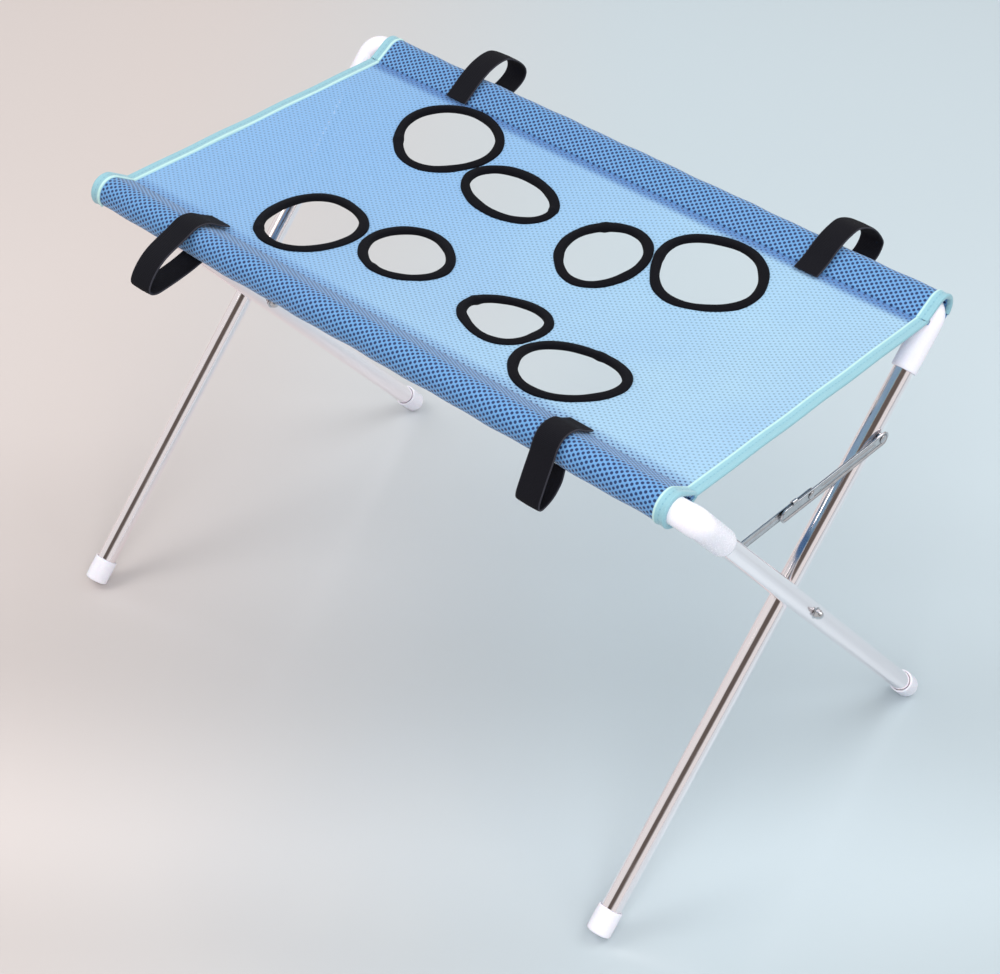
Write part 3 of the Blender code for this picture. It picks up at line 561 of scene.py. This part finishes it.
for end_name in ENDS:
    pin_a_y, brace_z = middle("brace_leg_rivet_a_" + end_name)[1:]
    pin_b_y = middle("brace_leg_rivet_b_" + end_name)[1]
    upper_box, lower_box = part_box("brace_upper_link_" + end_name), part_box("brace_lower_link_" + end_name)
    upper_body, lower_body = "brace_upper_" + end_name, "brace_lower_" + end_name
    upper_width = 2 * abs(upper_box[1][1] - pin_a_y)
    overrun = abs(upper_box[0][1]) - upper_width / 2
    upper = stamped_link("outer_link_" + end_name, (0, pin_a_y, brace_z), -1, pin_a_y, overrun,
                         upper_width, lower_box[0][0] + PLATE + LINK_GAP, LINK_FLANGE, steel, upper_body)
    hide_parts("brace_upper_link_" + end_name)
    lower_width = 2 * abs(pin_b_y - lower_box[0][1])
    lower = stamped_link("inner_link_" + end_name, (0, pin_b_y, brace_z), 1, -pin_b_y, 0.0,
                         lower_width, lower_box[0][0], PLATE, steel, lower_body)
    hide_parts("brace_lower_link_" + end_name)

    curl = np.radians(np.linspace(-90, 200, 22))
    section = np.concatenate([radius * np.stack([np.cos(turn), np.sin(turn)], axis=1)
                              for radius, turn in ((TAB_OUTER, curl), (TAB_INNER, curl[::-1]))])
    section += (lower_box[0][0] + 0.0030, lower_box[1][2] + 0.0026)
    tab_rows = [np.insert(section, 1, y, axis=1) for y in (TAB_FROM, TAB_TO)]
    tab = surface("stop_tab_" + end_name, tab_rows, steel, upper_body, wrap=True)

    rivets = (("brace_leg_rivet_a_", pin_a_y, "frame_a", -1), ("brace_leg_rivet_b_", pin_b_y, "frame_b", 1),
              ("brace_middle_rivet_head_", 0.0, upper_body, -1),
              ("brace_middle_rivet_tail_", 0.0, lower_body, 1))
    for stem, y, body, way in rivets:
        low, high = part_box(stem + end_name)
        start = ((high[0] if way < 0 else low[0]) + way * RIVET_HEAD_H, y, brace_z)
        profile = dome_head(RIVET_HEAD_R, RIVET_HEAD_H, RIVET_R, high[0] - low[0] - RIVET_HEAD_H)
        pin = turned(stem.replace("brace_", "") + end_name + "_domed", start, (way, 0, 0), profile, steel,
                     body, sides=48)
        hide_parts(stem + end_name)
    for letter, y in (("a", pin_a_y), ("b", pin_b_y)):
        stem = "brace_spacer_%s_" % letter
        low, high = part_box(stem + end_name)
        profile = tube_profile(high[0] - low[0], (high[2] - low[2]) / 2, 0.0012, 0.0001)
        washer = turned(stem + end_name + "_ring", (low[0], y, brace_z), (1, 0, 0), profile, steel,
                        "frame_" + letter, sides=40, ring=True)
        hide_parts(stem + end_name)

# ---- rail sleeves ----
# Each long edge of the sling is turned over its rail and sewn down as a tunnel of cornflower-blue
# spacer mesh. Its knitted holes are painted dark navy: painted shade of the layer and rail below.
SLEEVE_R = ELBOW_R + 0.0027
SLEEVE_WALL = 0.0020
SEAM_IN = 0.026
SEAM_HALF = 0.0015
SLING_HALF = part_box("end_tape_right")[1][0]
FABRIC_END = SLING_HALF - 0.0014
MESH_PITCH, MESH_ROW = 0.0067, 0.0050


def teardrop(radius, tail, half, steps=64):
    """Outline round a rail from the seam's top over the rail to the seam's underside: two straight
    flanks that meet a circle at its tangents."""
    lift = math.asin(radius / math.hypot(tail, half)) - math.atan2(half, tail)
    turn = np.linspace(math.pi / 2 + lift, -math.pi / 2 - lift, steps)
    ring = radius * np.stack([np.cos(turn), np.sin(turn)], axis=1)
    ease = np.linspace(0, 1, 9)[:-1, None]
    top, under = np.array((-tail, half)), np.array((-tail, -half))
    return np.concatenate([top + (ring[0] - top) * ease, ring, (under + (ring[-1] - under) * ease)[::-1]])


def knit(tree, pitch, row, radius, soft):
    """Hole mask of a staggered knit: distance to the nearest of two rectangular lattices of points
    that are half a pitch and half a row apart, cut off at the hole's radius."""
    flat = node(tree, "UVMap")
    wander = node(tree, "TexNoise", flat, None, 90.0, 2.0, output=1)
    offset = vector(tree, "ADD", wander, (-0.5, -0.5, -0.5))
    offset = vector(tree, "MULTIPLY", offset, (0.0009, 0.0009, 0))
    flat = vector(tree, "ADD", flat, offset)
    cell = vector(tree, "DIVIDE", flat, (pitch, row, 1))
    nearest = None
    for shift in (0.0, 0.5):
        spot = vector(tree, "ADD", cell, (shift, shift, 0))
        spot = vector(tree, "FRACTION", spot)
        spot = vector(tree, "ADD", spot, (-0.5, -0.5, 0))
        spot = vector(tree, "MULTIPLY", spot, (pitch, row, 0))
        away = vector(tree, "LENGTH", spot, output=1)
        nearest = away if nearest is None else calc(tree, "MINIMUM", nearest, away)
    mask = fade(tree, nearest, radius - soft, radius + soft, 1.0, 0.0)
    return flat, nearest, mask


sleeve_mesh, tree, shader = finish("mesh_sleeve", rgb(120, 168, 222), 0.75, Sheen_Weight=0.25,
                                   Sheen_Roughness=0.4)
flat, nearest, holes = knit(tree, MESH_PITCH, MESH_ROW, 0.00138, 0.00030)
yarn = noise(tree, node(tree, "Mapping", flat, None, None, (1.0, 3.0, 1)), 1400.0, 2.0)
drift = noise(tree, flat, 12.0, 2.0)
thread = mix_color(tree, yarn, rgb(72, 126, 182), rgb(110, 162, 210))
thread = mix_color(tree, node(tree, "MapRange", drift, 0.3, 0.7, 0.0, 0.35), thread, rgb(98, 142, 196))
# Painted shade: the holes are painted dark navy for the shaded layer and rail seen through them.
paint(tree, shader, mix_color(tree, holes, thread, rgb(18, 44, 88)))
mound = fade(tree, nearest, 0.0006, 0.0022)
height = calc(tree, "ADD", mound, calc(tree, "MULTIPLY", yarn, 0.18))
roughen(tree, shader, height, 0.9, 0.0005)


def round_rail(outline, x, side):
    """Outboard and height pairs placed round the rail on the given side at x."""
    return np.stack([np.broadcast_to(x, outline.shape[:-1]), side * (RAIL_Y + outline[..., 0]),
                     RAIL_Z + outline[..., 1]], axis=-1)


def cut_away(piece, side):
    """Opens the underside of a sleeve piece where the leg socket leaves through it."""
    letter, end_name = ("a", "right") if side > 0 else ("b", "left")
    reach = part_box("leg_tube_%s_%s" % (letter, end_name))[0][0] + TUBE_R
    corner, down = np.array((reach, side * RAIL_Y, RAIL_Z)), DOWN[letter]
    across = np.cross(down, (1, 0, 0))
    begin = corner - np.array((side * (ELBOW_BEND + 0.0006), 0, 0))
    half = ELBOW_R + 0.0004
    box = np.array([begin + np.array((along, 0, 0)) + down * depth + across * sway
                    for along in (0, side * 0.05) for depth in (0.003, 0.040) for sway in (-half, half)])
    mesh = bpy.data.meshes.new("cutter")
    mesh.from_pydata(box, [], [(0, 1, 3, 2), (4, 6, 7, 5), (0, 4, 5, 1), (2, 3, 7, 6), (0, 2, 6, 4),
                               (1, 5, 7, 3)])
    cutter = add_object("cutter", mesh)
    seal(cutter)
    cut = piece.modifiers.new("notch", "BOOLEAN")
    cut.operation, cut.object, cut.solver = "DIFFERENCE", cutter, "EXACT"
    bake(piece)
    bpy.data.objects.remove(cutter)


def run_length(points):
    """Distance along a line of points from the first of them to each."""
    return np.concatenate([[0], np.cumsum(np.linalg.norm(np.diff(points, axis=0), axis=1))])


def closed(values):
    """The values with the first one again at the end."""
    return np.concatenate([values, values[:1]])


def weave_uv(along, across):
    """Map coordinates of a grid: metres along its rows and across its columns."""
    return np.stack(np.meshgrid(along, across, indexing="ij"), axis=-1)


def bake(piece):
    """Replaces the mesh by what its modifiers make of it."""
    bpy.context.view_layer.update()
    done = bpy.data.meshes.new_from_object(piece.evaluated_get(bpy.context.evaluated_depsgraph_get()))
    piece.modifiers.clear()
    piece.data = done


sleeves = {}
for letter, side in SIDE.items():
    outer = teardrop(SLEEVE_R, SEAM_IN, SEAM_HALF)
    inner = teardrop(SLEEVE_R - SLEEVE_WALL, SEAM_IN - 0.006, 0.0006)
    x = np.linspace(-FABRIC_END, FABRIC_END, 260)[:, None]
    girth = run_length(outer)
    share = girth / girth[-1]
    slack = np.sin(math.pi * share) ** 2
    pull = (0.00035 * np.sin(x * 61 + 1.3 * side) + 0.0003 * np.sin(x * 143 + 9 * share[None])) * slack[None]
    tug = 0.0008 * np.exp(-((np.abs(x) - 0.212) / 0.018) ** 2) * slack[None]
    out = outer[None] * (1 + (np.minimum(pull, 0.0006) - tug)[..., None] / SLEEVE_R * 0.9)
    outside = round_rail(out, np.broadcast_to(x, out.shape[:-1]), side)
    x_in = np.array([FABRIC_END, 0.11, -0.11, -FABRIC_END])[:, None]
    inside = round_rail(np.broadcast_to(inner[None], (4,) + inner.shape),
                        np.broadcast_to(x_in, (4, len(inner))), side)
    points = np.concatenate([outside, inside])
    along = closed(np.concatenate([x[:, 0], x_in[:, 0]]))
    sleeve = surface("mesh_sleeve_" + letter, points, sleeve_mesh, wrap=True, ring=True,
                     uv=weave_uv(along, np.append(girth, girth[-1])), sharp=60)
    cut_away(sleeve, side)
    dress(sleeve, sleeve_mesh, 60)
    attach(sleeve, "frame_" + letter)
    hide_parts("rail_sleeve_" + letter)
    sleeves[letter] = (sleeve, (round(float(girth[-1]), 4), round(2 * float(FABRIC_END), 4)))

# ---- sling panel ----
# One layer of the same spacer mesh, seen flat on: a paler, see-through knit that hangs a little
# between the two tunnels. Eight leg holes are cut in pairs; its short ends are bound with tape.
PANEL_EDGE = RAIL_Y - SEAM_IN - CLEAR
PANEL_SAG = 0.014
TAPE_WIDTH = 0.0118
SAG_END = SLING_HALF - 0.016
BAND_WIDTH = 0.0083
# Per hole: middle, half length, half width, turn in degrees, egg shape (share, degrees), four-sidedness.
HOLES = {
    "far_left_big": (-0.1750, 0.1058, 0.0473, 0.0450, 137, 0.036, 131, 0.018, 137),
    "far_left_small": (-0.0700, 0.0768, 0.0451, 0.0277, -4, 0.0, 0, 0.006, 200),
    "far_right_small": (0.0549, 0.0602, 0.0418, 0.0338, 96, 0.040, 193, 0.010, 183),
    "far_right_big": (0.1453, 0.0980, 0.0486, 0.0442, 151, 0.020, 239, 0.028, 194),
    "near_left_big": (-0.1617, -0.0903, 0.0491, 0.0377, 96, 0.022, 168, 0.018, 213),
    "near_left_small": (-0.0700, -0.0617, 0.0395, 0.0354, 133, 0.014, 232, 0.013, 143),
    "near_right_small": (0.0608, -0.0791, 0.0338, 0.0314, 3, 0.070, 176, 0.010, 210),
    "near_right_big": (0.1519, -0.1031, 0.0438, 0.0383, 29, 0.050, 126, 0.0, 0),
}


def sag_at(x, y):
    """Drop below the rails: none at the seams and at the taped ends, deepest in the middle."""
    deep = np.clip(1 - (y / PANEL_EDGE) ** 2, 0, 1) ** 1.5
    return PANEL_SAG * deep * np.clip(1 - np.abs(x / SAG_END) ** 3, 0, 1)


def hole_edge(hole, grow, turn):
    """Ellipse about the hole's middle, its radius eased by a three-lobed and a four-lobed wave."""
    x, y, length, width, lean, egg, egg_at, square, square_at = hole
    ease = (1 + egg * np.cos(3 * (turn - math.radians(egg_at)))
            + square * np.cos(4 * (turn - math.radians(square_at))))
    a, b = (length * ease + grow) * np.cos(turn), (width * ease + grow) * np.sin(turn)
    c, s = math.cos(math.radians(lean)), math.sin(math.radians(lean))
    return np.stack([x + a * c - b * s, y + a * s + b * c], axis=-1)


def inside_hole(points, hole, grow):
    """True where a point is nearer the hole's middle than the hole's own edge on that bearing."""
    x, y, length, width, lean = hole[:5]
    c, s = math.cos(math.radians(lean)), math.sin(math.radians(lean))
    dx, dy = points[:, 0] - x, points[:, 1] - y
    p, q = dx * c + dy * s, dy * c - dx * s
    edge = hole_edge(hole, grow, np.arctan2(q / width, p / length)) - (x, y)
    return np.hypot(dx, dy) < np.hypot(edge[:, 0], edge[:, 1])


panel_mesh, tree, shader = finish("mesh_panel", rgb(150, 196, 240), 0.8, Sheen_Weight=0.25,
                                  Sheen_Roughness=0.5)
flat, nearest, holes = knit(tree, MESH_PITCH, MESH_ROW, 0.00100, 0.00030)
place = pick(tree, flat, 0)
from_middle = calc(tree, "ABSOLUTE", pick(tree, flat, 1))
seam = fade(tree, from_middle, PANEL_EDGE - 0.015, PANEL_EDGE - 0.004)
yarn = noise(tree, node(tree, "Mapping", flat, None, None, (3.0, 1.0, 1)), 1300.0, 2.0)
drift = noise(tree, flat, 9.0, 2.0)
rib = waves(tree, place, MESH_PITCH / 2)
# Painted light: the thread turns paler towards the right end, where more light falls on the panel.
painted_light_rightward = fade(tree, place, -0.26, 0.22)
thread = mix_color(tree, yarn, rgb(98, 146, 196), rgb(132, 176, 216))
thread = mix_color(tree, painted_light_rightward, thread, mix_color(tree, yarn, rgb(132, 172, 203), rgb(164, 199, 217)))
thread = mix_color(tree, node(tree, "MapRange", drift, 0.3, 0.7, 0.0, 0.25), thread, rgb(116, 160, 208))
thread = mix_color(tree, node(tree, "MapRange", rib, -1.0, 1.0, 0.0, 0.14), thread, rgb(98, 142, 192))
# Painted shade: a darker blue band along each seam for the shaded flank of the tunnel above it, stronger on
# the far side than the near.
painted_flank_shade = node(tree, "MapRange", pick(tree, flat, 1), -0.05, 0.05, 0.30, 0.90)
thread = mix_color(tree, calc(tree, "MULTIPLY", seam, painted_flank_shade), thread, rgb(62, 112, 172))
# Painted shade: near the seam the holes are painted dark navy for the shaded layer below them.
thread = mix_color(tree, calc(tree, "MULTIPLY", seam, holes), thread, rgb(24, 54, 104))
paint(tree, shader, thread)
# The band is also less see-through, as the mesh is doubled at the seam.
open_share = calc(tree, "MULTIPLY", holes, node(tree, "MapRange", seam, 0.0, 1.0, 0.42, 0.0))
tree.links.new(calc(tree, "SUBTRACT", 1.0, open_share), shader.inputs["Alpha"])
mound = fade(tree, nearest, 0.0006, 0.0022)
height = calc(tree, "ADD", mound, calc(tree, "MULTIPLY", yarn, 0.2))
roughen(tree, shader, height, 0.6, 0.0004)

cell = 0.0075
cut_back = 0.0022
xs = np.linspace(-FABRIC_END, FABRIC_END, round(2 * FABRIC_END / cell) + 1)
ys = np.linspace(-PANEL_EDGE - 0.0025, PANEL_EDGE + 0.0025, round(2 * PANEL_EDGE / cell) + 1)
rim = np.array([(x, ys[0]) for x in xs[:-1]] + [(xs[-1], y) for y in ys[:-1]]
               + [(x, ys[-1]) for x in xs[:0:-1]] + [(xs[0], y) for y in ys[:0:-1]])
turn = whole_turn(72)
loops = [rim] + [hole_edge(hole, cut_back, turn) for hole in HOLES.values()]
starts = np.cumsum([0] + [len(loop) for loop in loops])
edges = [(int(a + i), int(a + (i + 1) % n)) for a, n in zip(starts, map(len, loops)) for i in range(n)]
inner = np.stack(np.meshgrid(xs[1:-1], ys[1:-1]), axis=-1).reshape(-1, 2)
for hole in HOLES.values():
    inner = inner[~inside_hole(inner, hole, cut_back + cell / 3)]
cloth = np.concatenate(loops + [inner])
verts, _, faces, _, _, _ = delaunay_2d_cdt([Vector(p) for p in cloth.tolist()], edges, [], 1, 1e-7)
flat_points = np.array([tuple(v) for v in verts])
faces = np.array([tuple(f) for f in faces])
middles = flat_points[faces].mean(axis=1)
keep = np.ones(len(faces), dtype=bool)
for hole in HOLES.values():
    keep &= ~inside_hole(middles, hole, cut_back)
faces = faces[keep]
used, again = np.unique(faces, return_inverse=True)
faces, flat_points = again.reshape(-1, 3), flat_points[used]
x, y = flat_points.T
slack = 0.0005 * np.sin(x * 38 + 2 * np.sin(y * 21)) * np.clip(1 - (y / PANEL_EDGE) ** 2, 0, 1)
panel_data = bpy.data.meshes.new("mesh_panel")
hung_points = np.column_stack([flat_points, RAIL_Z - sag_at(x, y) + slack])
panel_data.from_pydata(hung_points.tolist(), [], faces.tolist())
weave = panel_data.uv_layers.new(name="weave")
weave.data.foreach_set("uv", flat_points[faces.ravel()].ravel())
panel = add_object("mesh_panel", panel_data)
wall = panel.modifiers.new("cloth", "SOLIDIFY")
wall.thickness = 0.0007
wall.offset = 0
bake(panel)
dress(panel, panel_mesh, 60)
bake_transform(panel)
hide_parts("sling_panel")

# ---- leg hole bindings ----
# Each raw hole edge is bound with black knitted tape, folded over it and sewn through: a soft roll
# about 10 mm wide that follows the sag, with one stitch line and a small step where its ends lap.
black_knit, tree, shader = finish("black_binding", (0.006, 0.006, 0.009, 1), 0.9,
                                  Specular_IOR_Level=0.12, Sheen_Weight=0.01)
flat = node(tree, "UVMap")
parts = pick(tree, flat, 0)
girth_way = pick(tree, flat, 1)
ribs = waves(tree, parts, 0.0011)
cords = waves(tree, girth_way, 0.0009)
fuzz = noise(tree, flat, 1500.0, 3.0)
weave_height = calc(tree, "ADD", calc(tree, "MULTIPLY", ribs, cords), fuzz)
paint(tree, shader, mix_color(tree, fuzz, (0.001, 0.001, 0.002, 1), (0.006, 0.006, 0.010, 1)))
roughen(tree, shader, weave_height, 0.5, 0.0004)


def powered(values, power):
    """Each value raised to a power with its sign kept."""
    return np.sign(values) * np.abs(values) ** power


for place, hole in HOLES.items():
    turn = whole_turn(144)
    seed = hole[0] * 57 + hole[1] * 31
    lap = np.exp(-((np.angle(np.exp(1j * (turn - 1.9 - seed)))) / 0.09) ** 2)
    wobble = 1 + 0.05 * np.sin(5 * turn + seed) + 0.03 * np.sin(11 * turn + 2 * seed)
    around = whole_turn(28)
    wide, tall = powered(np.cos(around), 0.8), powered(np.sin(around), 0.85)
    groove = 0.0005 * np.exp(-((wide - 0.45) / 0.14) ** 2)
    reach = BAND_WIDTH / 2 * (1 + 1.16 * wide[None] * wobble[:, None] * (1 + 0.10 * lap[:, None]))
    rise = 0.0031 * tall[None] * (1 - 0.12 * wide[None]) - groove[None] * np.sign(tall[None])
    rise = rise * (1 + 0.28 * lap[:, None])
    edge = hole_edge(hole, reach, turn[:, None])
    height = RAIL_Z - sag_at(edge[..., 0], edge[..., 1]) + rise
    points = np.concatenate([edge, height[..., None]], axis=-1)
    girth = np.append(around, math.tau) * 0.0036
    binding = surface("binding_" + place, points, black_knit, wrap=True, ring=True,
                      uv=weave_uv(run_length(closed(edge[:, 0])), girth))
    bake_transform(binding)
    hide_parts("hole_binding_" + place)

# ---- end tapes ----
# The two short edges are bound with pale aqua tape folded over the cut mesh: a 12 mm band with thick
# rolled edges, a shallow sewn groove along its middle and a row of stitches in the groove.
aqua, tree, shader = finish("aqua_tape", rgb(150, 220, 232), 0.7, Sheen_Weight=0.3, Sheen_Roughness=0.4)
flat = node(tree, "UVMap")
run = pick(tree, flat, 0)
over = pick(tree, flat, 1)
cross_rib = waves(tree, run, 0.0010)
fuzz = noise(tree, flat, 1200.0, 3.0)
from_line = calc(tree, "ABSOLUTE", calc(tree, "SUBTRACT", over, TAPE_WIDTH / 2))
line = fade(tree, from_line, 0.0004, 0.0009, 1.0, 0.0)
dash = calc(tree, "FRACT", calc(tree, "MULTIPLY", run, 1 / 0.0046))
dash = fade(tree, dash, 0.22, 0.30)
stitch = calc(tree, "MULTIPLY", line, dash)
hem = fade(tree, over, TAPE_WIDTH - 0.0030, TAPE_WIDTH - 0.0016)
tone = mix_color(tree, fuzz, rgb(122, 170, 184), rgb(148, 190, 201))
tone = mix_color(tree, hem, tone, rgb(180, 216, 214))
tone = mix_color(tree, calc(tree, "MULTIPLY", line, 0.55), tone, rgb(92, 142, 166))
paint(tree, shader, mix_color(tree, calc(tree, "MULTIPLY", stitch, 0.5), tone, rgb(146, 192, 204)))
height = calc(tree, "ADD", calc(tree, "MULTIPLY", cross_rib, 0.25), fuzz)
height = calc(tree, "ADD", height, calc(tree, "MULTIPLY", stitch, 1.2))
roughen(tree, shader, height, 0.45, 0.0004)


def folded_tape(half_gap, thick, width):
    """Half of a folded tape's section from its inner hem round the fold: (reach, height) pairs. The
    hem is rolled, the middle is pulled in by the stitches and the fold is a half circle."""
    reach = np.concatenate([np.linspace(width, 0.0012, 26), [0.0006, 0.0002, 0.0]])
    groove = 0.00035 * np.exp(-((reach - width / 2) / 0.0008) ** 2)
    roll = (0.0005 * np.exp(-((reach - width + 0.0018) / 0.0012) ** 2)
            + 0.0004 * np.exp(-((reach - 0.0016) / 0.0014) ** 2))
    body = half_gap + thick - groove + roll
    body[-3:] *= (0.8, 0.5, 0.0)
    body[0] -= thick * 0.7
    return reach, body


half_reach, half_rise = folded_tape(0.0007, 0.0009, TAPE_WIDTH)
section_reach = np.concatenate([half_reach, half_reach[-2::-1]])
section_rise = np.concatenate([half_rise, -half_rise[-2::-1]])
for end_name, end in ENDS.items():
    y = np.linspace(-PANEL_EDGE - 0.003, PANEL_EDGE + 0.003, 150)[:, None]
    wave = 0.0004 * np.sin(y * 74 + end) * np.clip(1 - (y / PANEL_EDGE) ** 2, 0, 1)
    points = np.stack([end * (SLING_HALF - section_reach[None]) + 0 * y, y + 0 * section_reach[None],
                       RAIL_Z + section_rise[None] + wave], axis=-1)
    tape = surface("end_tape_%s_folded" % end_name, points, aqua, wrap=True,
                   uv=weave_uv(y[:, 0], closed(section_reach)))
    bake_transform(tape)
    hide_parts("end_tape_" + end_name)

# ---- sleeve mouth bindings ----
# The same tape runs on round each open end of the sleeves. It is folded over the cut edge, so a thin
# lip shows inside the mouth, and it stops where the leg socket comes out.
for letter, side in SIDE.items():
    for end_name, end in ENDS.items():
        outside = [(r, h - 0.0009 + CLEAR) for r, h in zip(half_reach[:-3], half_rise[:-3])]
        lip = [(0.0006, 0.0009), (0.0001, 0.0002), (0.0001, -0.0018), (0.0005, -0.0027), (0.0016, -0.0030),
               (0.0040, -0.0028), (0.0044, -0.0023), (0.0040, -0.0019), (0.0014, -0.0010), (0.0012, 0.0002)]
        section = np.array(outside + lip + [(TAPE_WIDTH, 0.0001)])
        rings = np.stack([teardrop(SLEEVE_R + h, SEAM_IN, max(SEAM_HALF + h, 0.0004))
                          for _, h in section], axis=1)
        x = end * (SLING_HALF - section[:, 0])
        points = round_rail(rings, np.broadcast_to(x[None], rings.shape[:2]), side)
        girth = run_length(rings[:, 0])
        if end == side:
            away = rings[:, 0] @ np.array((side * DOWN[letter][1], DOWN[letter][2]))
            stop = 9 + int(np.argmax(away[9:] > 0))
            points, girth = points[:stop], girth[:stop]
        mouth = surface("mouth_tape_%s_%s" % (letter, end_name), points, aqua, "frame_" + letter,
                        wrap=True, uv=weave_uv(girth, closed(section[:, 0])))
        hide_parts("mouth_binding_%s_%s" % (letter, end_name))
    sleeve, flat = sleeves[letter]

# ---- strap loops ----
# Four loops of black 25 mm webbing. One end is sewn on top of the seam, the strap stands out over
# the rail in a stiff loop, and the other end is sewn to the underside of the sleeve.
STRAP_WIDTH = 0.0254
STRAP_THICK = 0.0018
STRAPS = {
    "far_right": [(-37, 2.6), (-22, 9), (-8, 18), (8, 24), (25, 25), (48, 14), (65, -3), (69, -13),
                  (60, -24), (38, -27), (18, -22), (5, -17)],
    "far_left": [(-30, 2.8), (-19, 10), (-7, 18), (8, 25), (24, 28), (37, 26), (54, 15), (62, 4),
                 (58, -6), (43, -13), (24, -17), (5, -17.5)],
    "near_left": [(-33, 2.6), (-21, 9), (-9, 16), (4, 17.5), (18, 12), (42, 2), (56, -10), (62, -22),
                  (55, -28), (37, -26.5), (15, -22.5), (-1, -18)],
    "near_right": [(-30, 2.6), (-19, 8.5), (-8, 15.6), (5, 17), (14, 11), (20, -2), (28, -20),
                   (34, -37), (30, -43), (17, -39), (7, -29), (3, -17.5)],
}


def smooth_path(points, per_span=14):
    """Catmull-Rom curve: each span is a cubic whose end slopes are half the step between neighbours."""
    p = np.array(points, dtype=float)
    p = np.concatenate([[2 * p[0] - p[1]], p, [2 * p[-1] - p[-2]]])
    t = np.linspace(0, 1, per_span, endpoint=False)[:, None]
    spans = [0.5 * (2 * b + (c - a) * t + (2 * a - 5 * b + 4 * c - d) * t ** 2
                    + (3 * b - a - 3 * c + d) * t ** 3)
             for a, b, c, d in zip(p[:-3], p[1:-2], p[2:-1], p[3:])]
    return np.concatenate(spans + [p[-2:-1]])


webbing, tree, shader = finish("black_webbing", (0.006, 0.006, 0.009, 1), 0.88,
                               Specular_IOR_Level=0.12, Sheen_Weight=0.01)
flat = node(tree, "UVMap")
length_way = pick(tree, flat, 0)
width_way = pick(tree, flat, 1)
picks = waves(tree, length_way, 0.0013)
warps = waves(tree, width_way, 0.0021)
fuzz = noise(tree, flat, 1600.0, 3.0)
edge_gap = calc(tree, "ABSOLUTE", width_way)
selvage = fade(tree, edge_gap, STRAP_WIDTH / 2 - 0.0012, STRAP_WIDTH / 2 - 0.0005)
tone = mix_color(tree, fuzz, (0.003, 0.003, 0.005, 1), (0.010, 0.010, 0.014, 1))
paint(tree, shader, mix_color(tree, selvage, tone, (0.035, 0.035, 0.045, 1)))
height = calc(tree, "ADD", calc(tree, "MULTIPLY", picks, 0.6), calc(tree, "MULTIPLY", warps, 0.3))
roughen(tree, shader, calc(tree, "ADD", height, fuzz), 0.5, 0.0004)

for place, waypoints in STRAPS.items():
    side = 1 if place.startswith("far") else -1
    letter = "a" if side > 0 else "b"
    x = middle("strap_loop_" + place)[0]
    path = smooth_path(waypoints) * 0.001
    along = np.gradient(path, axis=0)
    along /= np.linalg.norm(along, axis=1)[:, None]
    out = np.stack([-along[:, 1], along[:, 0]], axis=1)
    length = run_length(path)
    share = length / length[-1]
    turn = whole_turn(48)
    wide, thick = powered(np.cos(turn), 0.16), powered(np.sin(turn), 0.5)
    crown = 0.0006 * np.sin(math.pi * share)[:, None] * (1 - wide[None] ** 2)
    sway = 0.0011 * np.sin(math.pi * share) * (1 if x > 0 else -1)
    narrow = 1 - 0.02 * np.sin(math.pi * share)[:, None] ** 2
    shift = STRAP_THICK / 2 * thick[None] + crown
    spots = path[:, None] + out[:, None] * shift[..., None]
    points = round_rail(spots, x + STRAP_WIDTH / 2 * wide[None] * narrow + sway[:, None], side)
    strap = surface("strap_" + place, points, webbing, "frame_" + letter, wrap=True,
                    uv=weave_uv(length, closed(wide) * STRAP_WIDTH / 2))
    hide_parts("strap_loop_" + place)
